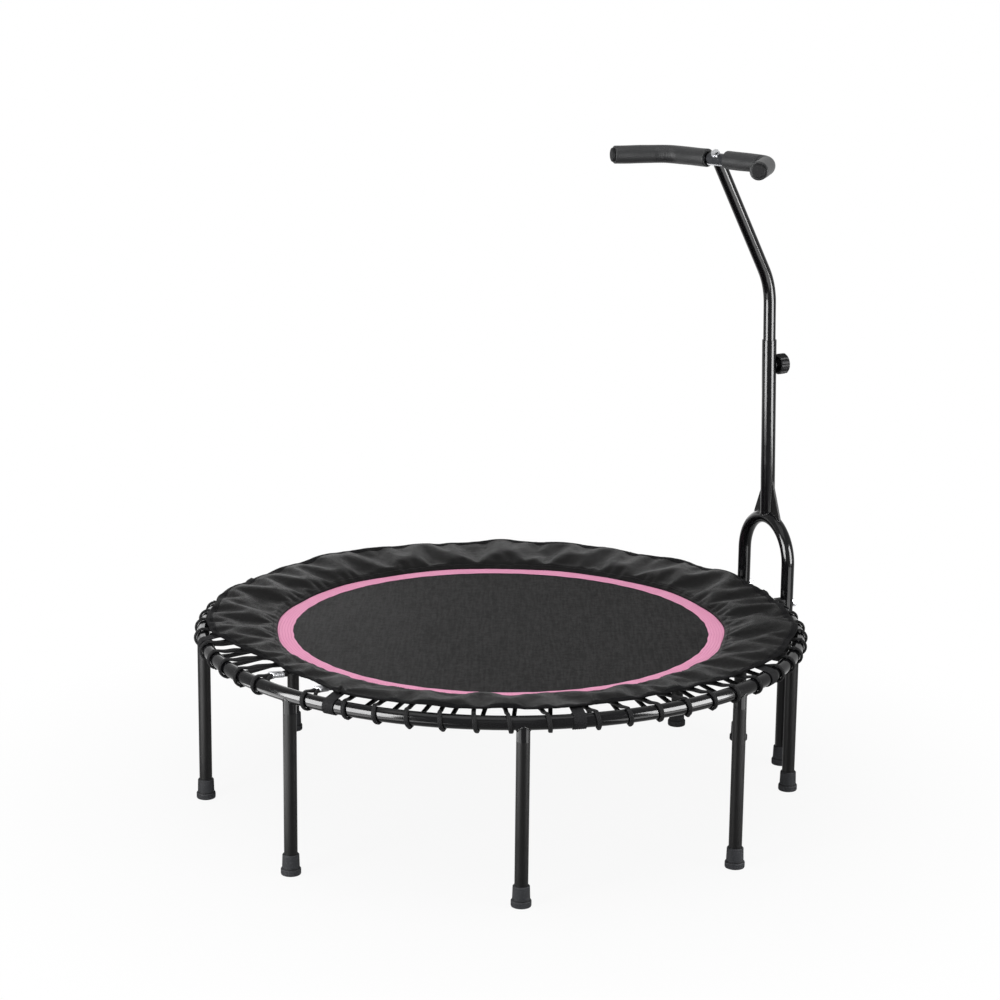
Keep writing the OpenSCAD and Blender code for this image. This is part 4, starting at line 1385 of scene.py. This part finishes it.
def area_light(name, place, target, size, power):
    lamp = bpy.data.lights.new(name, "AREA")
    lamp.shape, lamp.size, lamp.size_y, lamp.energy = "RECTANGLE", size[0], size[1], power
    made = bpy.data.objects.new(name, lamp)
    made.location = place
    made.rotation_euler = (Vector(target) - Vector(place)).to_track_quat("-Z", "Y").to_euler()
    bpy.context.scene.collection.objects.link(made)
    return made


def gloss_card(name, place, target, size, radiance, shown_in=None):
    """A panel beside the object that draws streaks on gloss and adds no other light."""
    made = area_light(name, place, target, size, radiance * math.pi * size[0] * size[1])
    made.visible_diffuse = made.visible_camera = False
    if shown_in:
        made.light_linking.receiver_collection = shown_in


def gathered(name, wanted):
    """A group of the pieces that show a card, picked by their names."""
    group = bpy.data.collections.new(name)
    for made in bpy.context.scene.objects:
        if made.type == "MESH" and wanted(made.name):
            group.objects.link(made)
    return group


def white_to(tree, lit, white):
    """A mix that shows white to the camera, to mirrors and through glass, and lit to the rest."""
    path = tree.nodes.new("ShaderNodeLightPath")
    last = path.outputs["Is Camera Ray"]
    for name in ("Is Glossy Ray", "Is Transmission Ray"):
        either = tree.nodes.new("ShaderNodeMath")
        either.operation = "MAXIMUM"
        tree.links.new(last, either.inputs[0])
        tree.links.new(path.outputs[name], either.inputs[1])
        last = either.outputs[0]
    both = tree.nodes.new("ShaderNodeMixShader")
    tree.links.new(last, both.inputs[0])
    tree.links.new(lit.outputs[0], both.inputs[1])
    tree.links.new(white.outputs[0], both.inputs[2])
    return both


class TRAMPOLINE_OT_stage(bpy.types.Operator):
    """Sets up the camera, the lamps, the pale floor and the white background"""

    bl_idname = "trampoline.stage"
    bl_label = "Stage"

    def execute(self, context):
        scene = context.scene
        scene.view_settings.view_transform = "Standard"
        self.camera(scene)
        self.world(scene)
        self.floor(scene)
        middle = (0, 0, 0.45)
        area_light("softbox_above", (0.6, -0.6, 3.4), (0, 0, 0.3), (2.6, 2.6), 60)
        area_light("softbox_right", (3.3, 2.3, 1.9), middle, (1.2, 2.0), 30)
        area_light("softbox_left", (1.4, -3.7, 1.9), middle, (1.2, 2.0), 54)
        area_light("fill_front", (4.4, -2.0, 3.0), middle, (1.8, 1.8), 8)
        soft = ("woven_mat", "sewn_band", "band_stitches", "webbing_loops", "loop_stitches", "cover_",
                "hold_down_straps", "strap_stitches", "elastic_cord_", "foam_grip", "floor")
        hard = gathered("hard_pieces", lambda name: not name.startswith(soft))
        grips = gathered("grips", lambda name: name.startswith("foam_grip"))
        weave_only = gathered("weave", lambda name: name == "woven_mat")
        dull = ("cover_", "elastic_cord_", "hold_down_straps")
        cloth = gathered("cloth", lambda name: name.startswith(dull))
        for name, radiance, group in (("gloss", 55, hard), ("grip", 12, grips), ("cloth", 6, cloth)):
            gloss_card(f"{name}_card_left", (0.34, -2.0, 0.75), (0.2, 0, 0.5), (1.6, 1.5), radiance, group)
            gloss_card(f"{name}_card_right", (1.75, 1.35, 0.85), (0.4, 0, 0.5), (1.3, 1.4), radiance, group)
        gloss_card("gloss_card_rear", (-0.775, 0.395, 0.53), (-0.45, 0.22, 0.34), (1.0, 0.22), 1.6)
        gloss_card("gloss_card_corner", (-0.77, -0.3, 0.47), (0, -0.3, 0.33), (0.5, 0.2), 1.4)
        gloss_card("floor_card_left", (0.3, -1.35, 0.001), (0.3, -1.35, 1), (1.3, 1.2), 9, hard)
        gloss_card("floor_card_right", (1.4, 0.75, 0.001), (1.4, 0.75, 1), (1.0, 1.3), 9, hard)
        gloss_card("mat_card", (-1.05, -0.12, 0.62), (-0.15, -0.33, 0.33), (0.6, 0.4), 5, weave_only)
        return {"FINISHED"}

    def camera(self, scene):
        lens = bpy.data.cameras.new("camera")
        lens.lens, lens.sensor_width, lens.sensor_fit = 97.272, 36, "HORIZONTAL"
        lens.clip_end = 100
        turn, pitch, roll = (math.radians(d) for d in (153.439, 13.927, 0.633))
        level = math.cos(pitch)
        ahead = Vector((math.cos(turn) * level, math.sin(turn) * level, -math.sin(pitch)))
        right = ahead.cross(UP).normalized()
        up = right.cross(ahead)
        most, rest = math.cos(roll), math.sin(roll)
        right, up = right * most + up * rest, up * most - right * rest
        made = bpy.data.objects.new("camera", lens)
        made.matrix_world = Matrix.Translation((4.3676, -2.2039, 1.79)) @ Matrix(
            (right, up, -ahead)).transposed().to_4x4()
        scene.collection.objects.link(made)
        scene.camera = made

    def world(self, scene):
        scene.world = bpy.data.worlds.new("studio")
        scene.world.use_nodes = True
        tree = scene.world.node_tree
        lit = tree.nodes["Background"]
        lit.inputs["Color"].default_value, lit.inputs["Strength"].default_value = (1, 1, 1, 1), 0.42
        white = tree.nodes.new("ShaderNodeBackground")
        white.inputs["Color"].default_value, white.inputs["Strength"].default_value = (1, 1, 1, 1), 1.0
        tree.links.new(white_to(tree, lit, white).outputs[0], tree.nodes["World Output"].inputs["Surface"])

    def floor(self, scene):
        mesh = bpy.data.meshes.new("floor")
        wide = 30
        corners = [(-wide, -wide, 0), (wide, -wide, 0), (wide, wide, 0), (-wide, wide, 0)]
        mesh.from_pydata(corners, [], [(0, 1, 2, 3)])
        made = bpy.data.objects.new("floor", mesh)
        made.location.z = -0.0004
        scene.collection.objects.link(made)
        paper = bpy.data.materials.new("floor_paper")
        paper.use_nodes = True
        tree = paper.node_tree
        lit = tree.nodes["Principled BSDF"]
        lit.inputs["Base Color"].default_value = (0.6, 0.6, 0.6, 1)
        lit.inputs["Roughness"].default_value = 0.9
        lit.inputs["Specular IOR Level"].default_value = 0.0
        glow = tree.nodes.new("ShaderNodeEmission")
        glow.inputs["Strength"].default_value = 1.0
        soft = tree.nodes.new("ShaderNodeMixShader")
        kinds = ("ShaderNodeTexCoord", "ShaderNodeVectorMath", "ShaderNodeMapRange")
        away = [tree.nodes.new(kind) for kind in kinds]
        away[1].operation, away[2].interpolation_type = "LENGTH", "SMOOTHSTEP"
        for socket, value in zip(("From Min", "From Max", "To Min", "To Max"), (0.55, 1.25, 0.92, 1.0)):
            away[2].inputs[socket].default_value = value
        tree.links.new(away[0].outputs["Object"], away[1].inputs[0])
        tree.links.new(away[1].outputs["Value"], away[2].inputs["Value"])
        tree.links.new(away[2].outputs[0], soft.inputs[0])
        tree.links.new(lit.outputs[0], soft.inputs[1])
        tree.links.new(glow.outputs[0], soft.inputs[2])
        shown = white_to(tree, lit, soft)
        tree.links.new(shown.outputs[0], tree.nodes["Material Output"].inputs["Surface"])
        mesh.materials.append(paper)


class TRAMPOLINE_PT_panel(bpy.types.Panel):
    """Lists the trampoline's pieces"""

    bl_label = "Mini trampoline"
    bl_idname = "TRAMPOLINE_PT_panel"
    bl_space_type, bl_region_type, bl_category = "VIEW_3D", "UI", "Trampoline"

    def draw(self, context):
        for made in OPERATORS:
            self.layout.operator(made.bl_idname)
        for group in (context.scene.trampoline_sizes, context.scene.trampoline_colours):
            box = self.layout.box()
            for name in group.__annotations__:
                box.prop(group, name)


OPERATORS = (
    TRAMPOLINE_OT_cords,
    TRAMPOLINE_OT_crimps,
    TRAMPOLINE_OT_mat,
    TRAMPOLINE_OT_band,
    TRAMPOLINE_OT_loops,
    TRAMPOLINE_OT_cover,
    TRAMPOLINE_OT_straps,
    TRAMPOLINE_OT_grips,
    TRAMPOLINE_OT_welds,
    TRAMPOLINE_OT_paint,
    TRAMPOLINE_OT_stage,
)
CLASSES = (TrampolineSizes, TrampolineColours, *OPERATORS, TRAMPOLINE_PT_panel)


def register():
    for made in CLASSES:
        bpy.utils.register_class(made)
    bpy.types.Scene.trampoline_sizes = PointerProperty(type=TrampolineSizes)
    bpy.types.Scene.trampoline_colours = PointerProperty(type=TrampolineColours)


def unregister():
    del bpy.types.Scene.trampoline_colours
    del bpy.types.Scene.trampoline_sizes
    for made in reversed(CLASSES):
        bpy.utils.unregister_class(made)


def main():
    register()
    for made in OPERATORS:
        group, name = made.bl_idname.split(".")
        getattr(getattr(bpy.ops, group), name)()


if __name__ == "__main__":
    main()
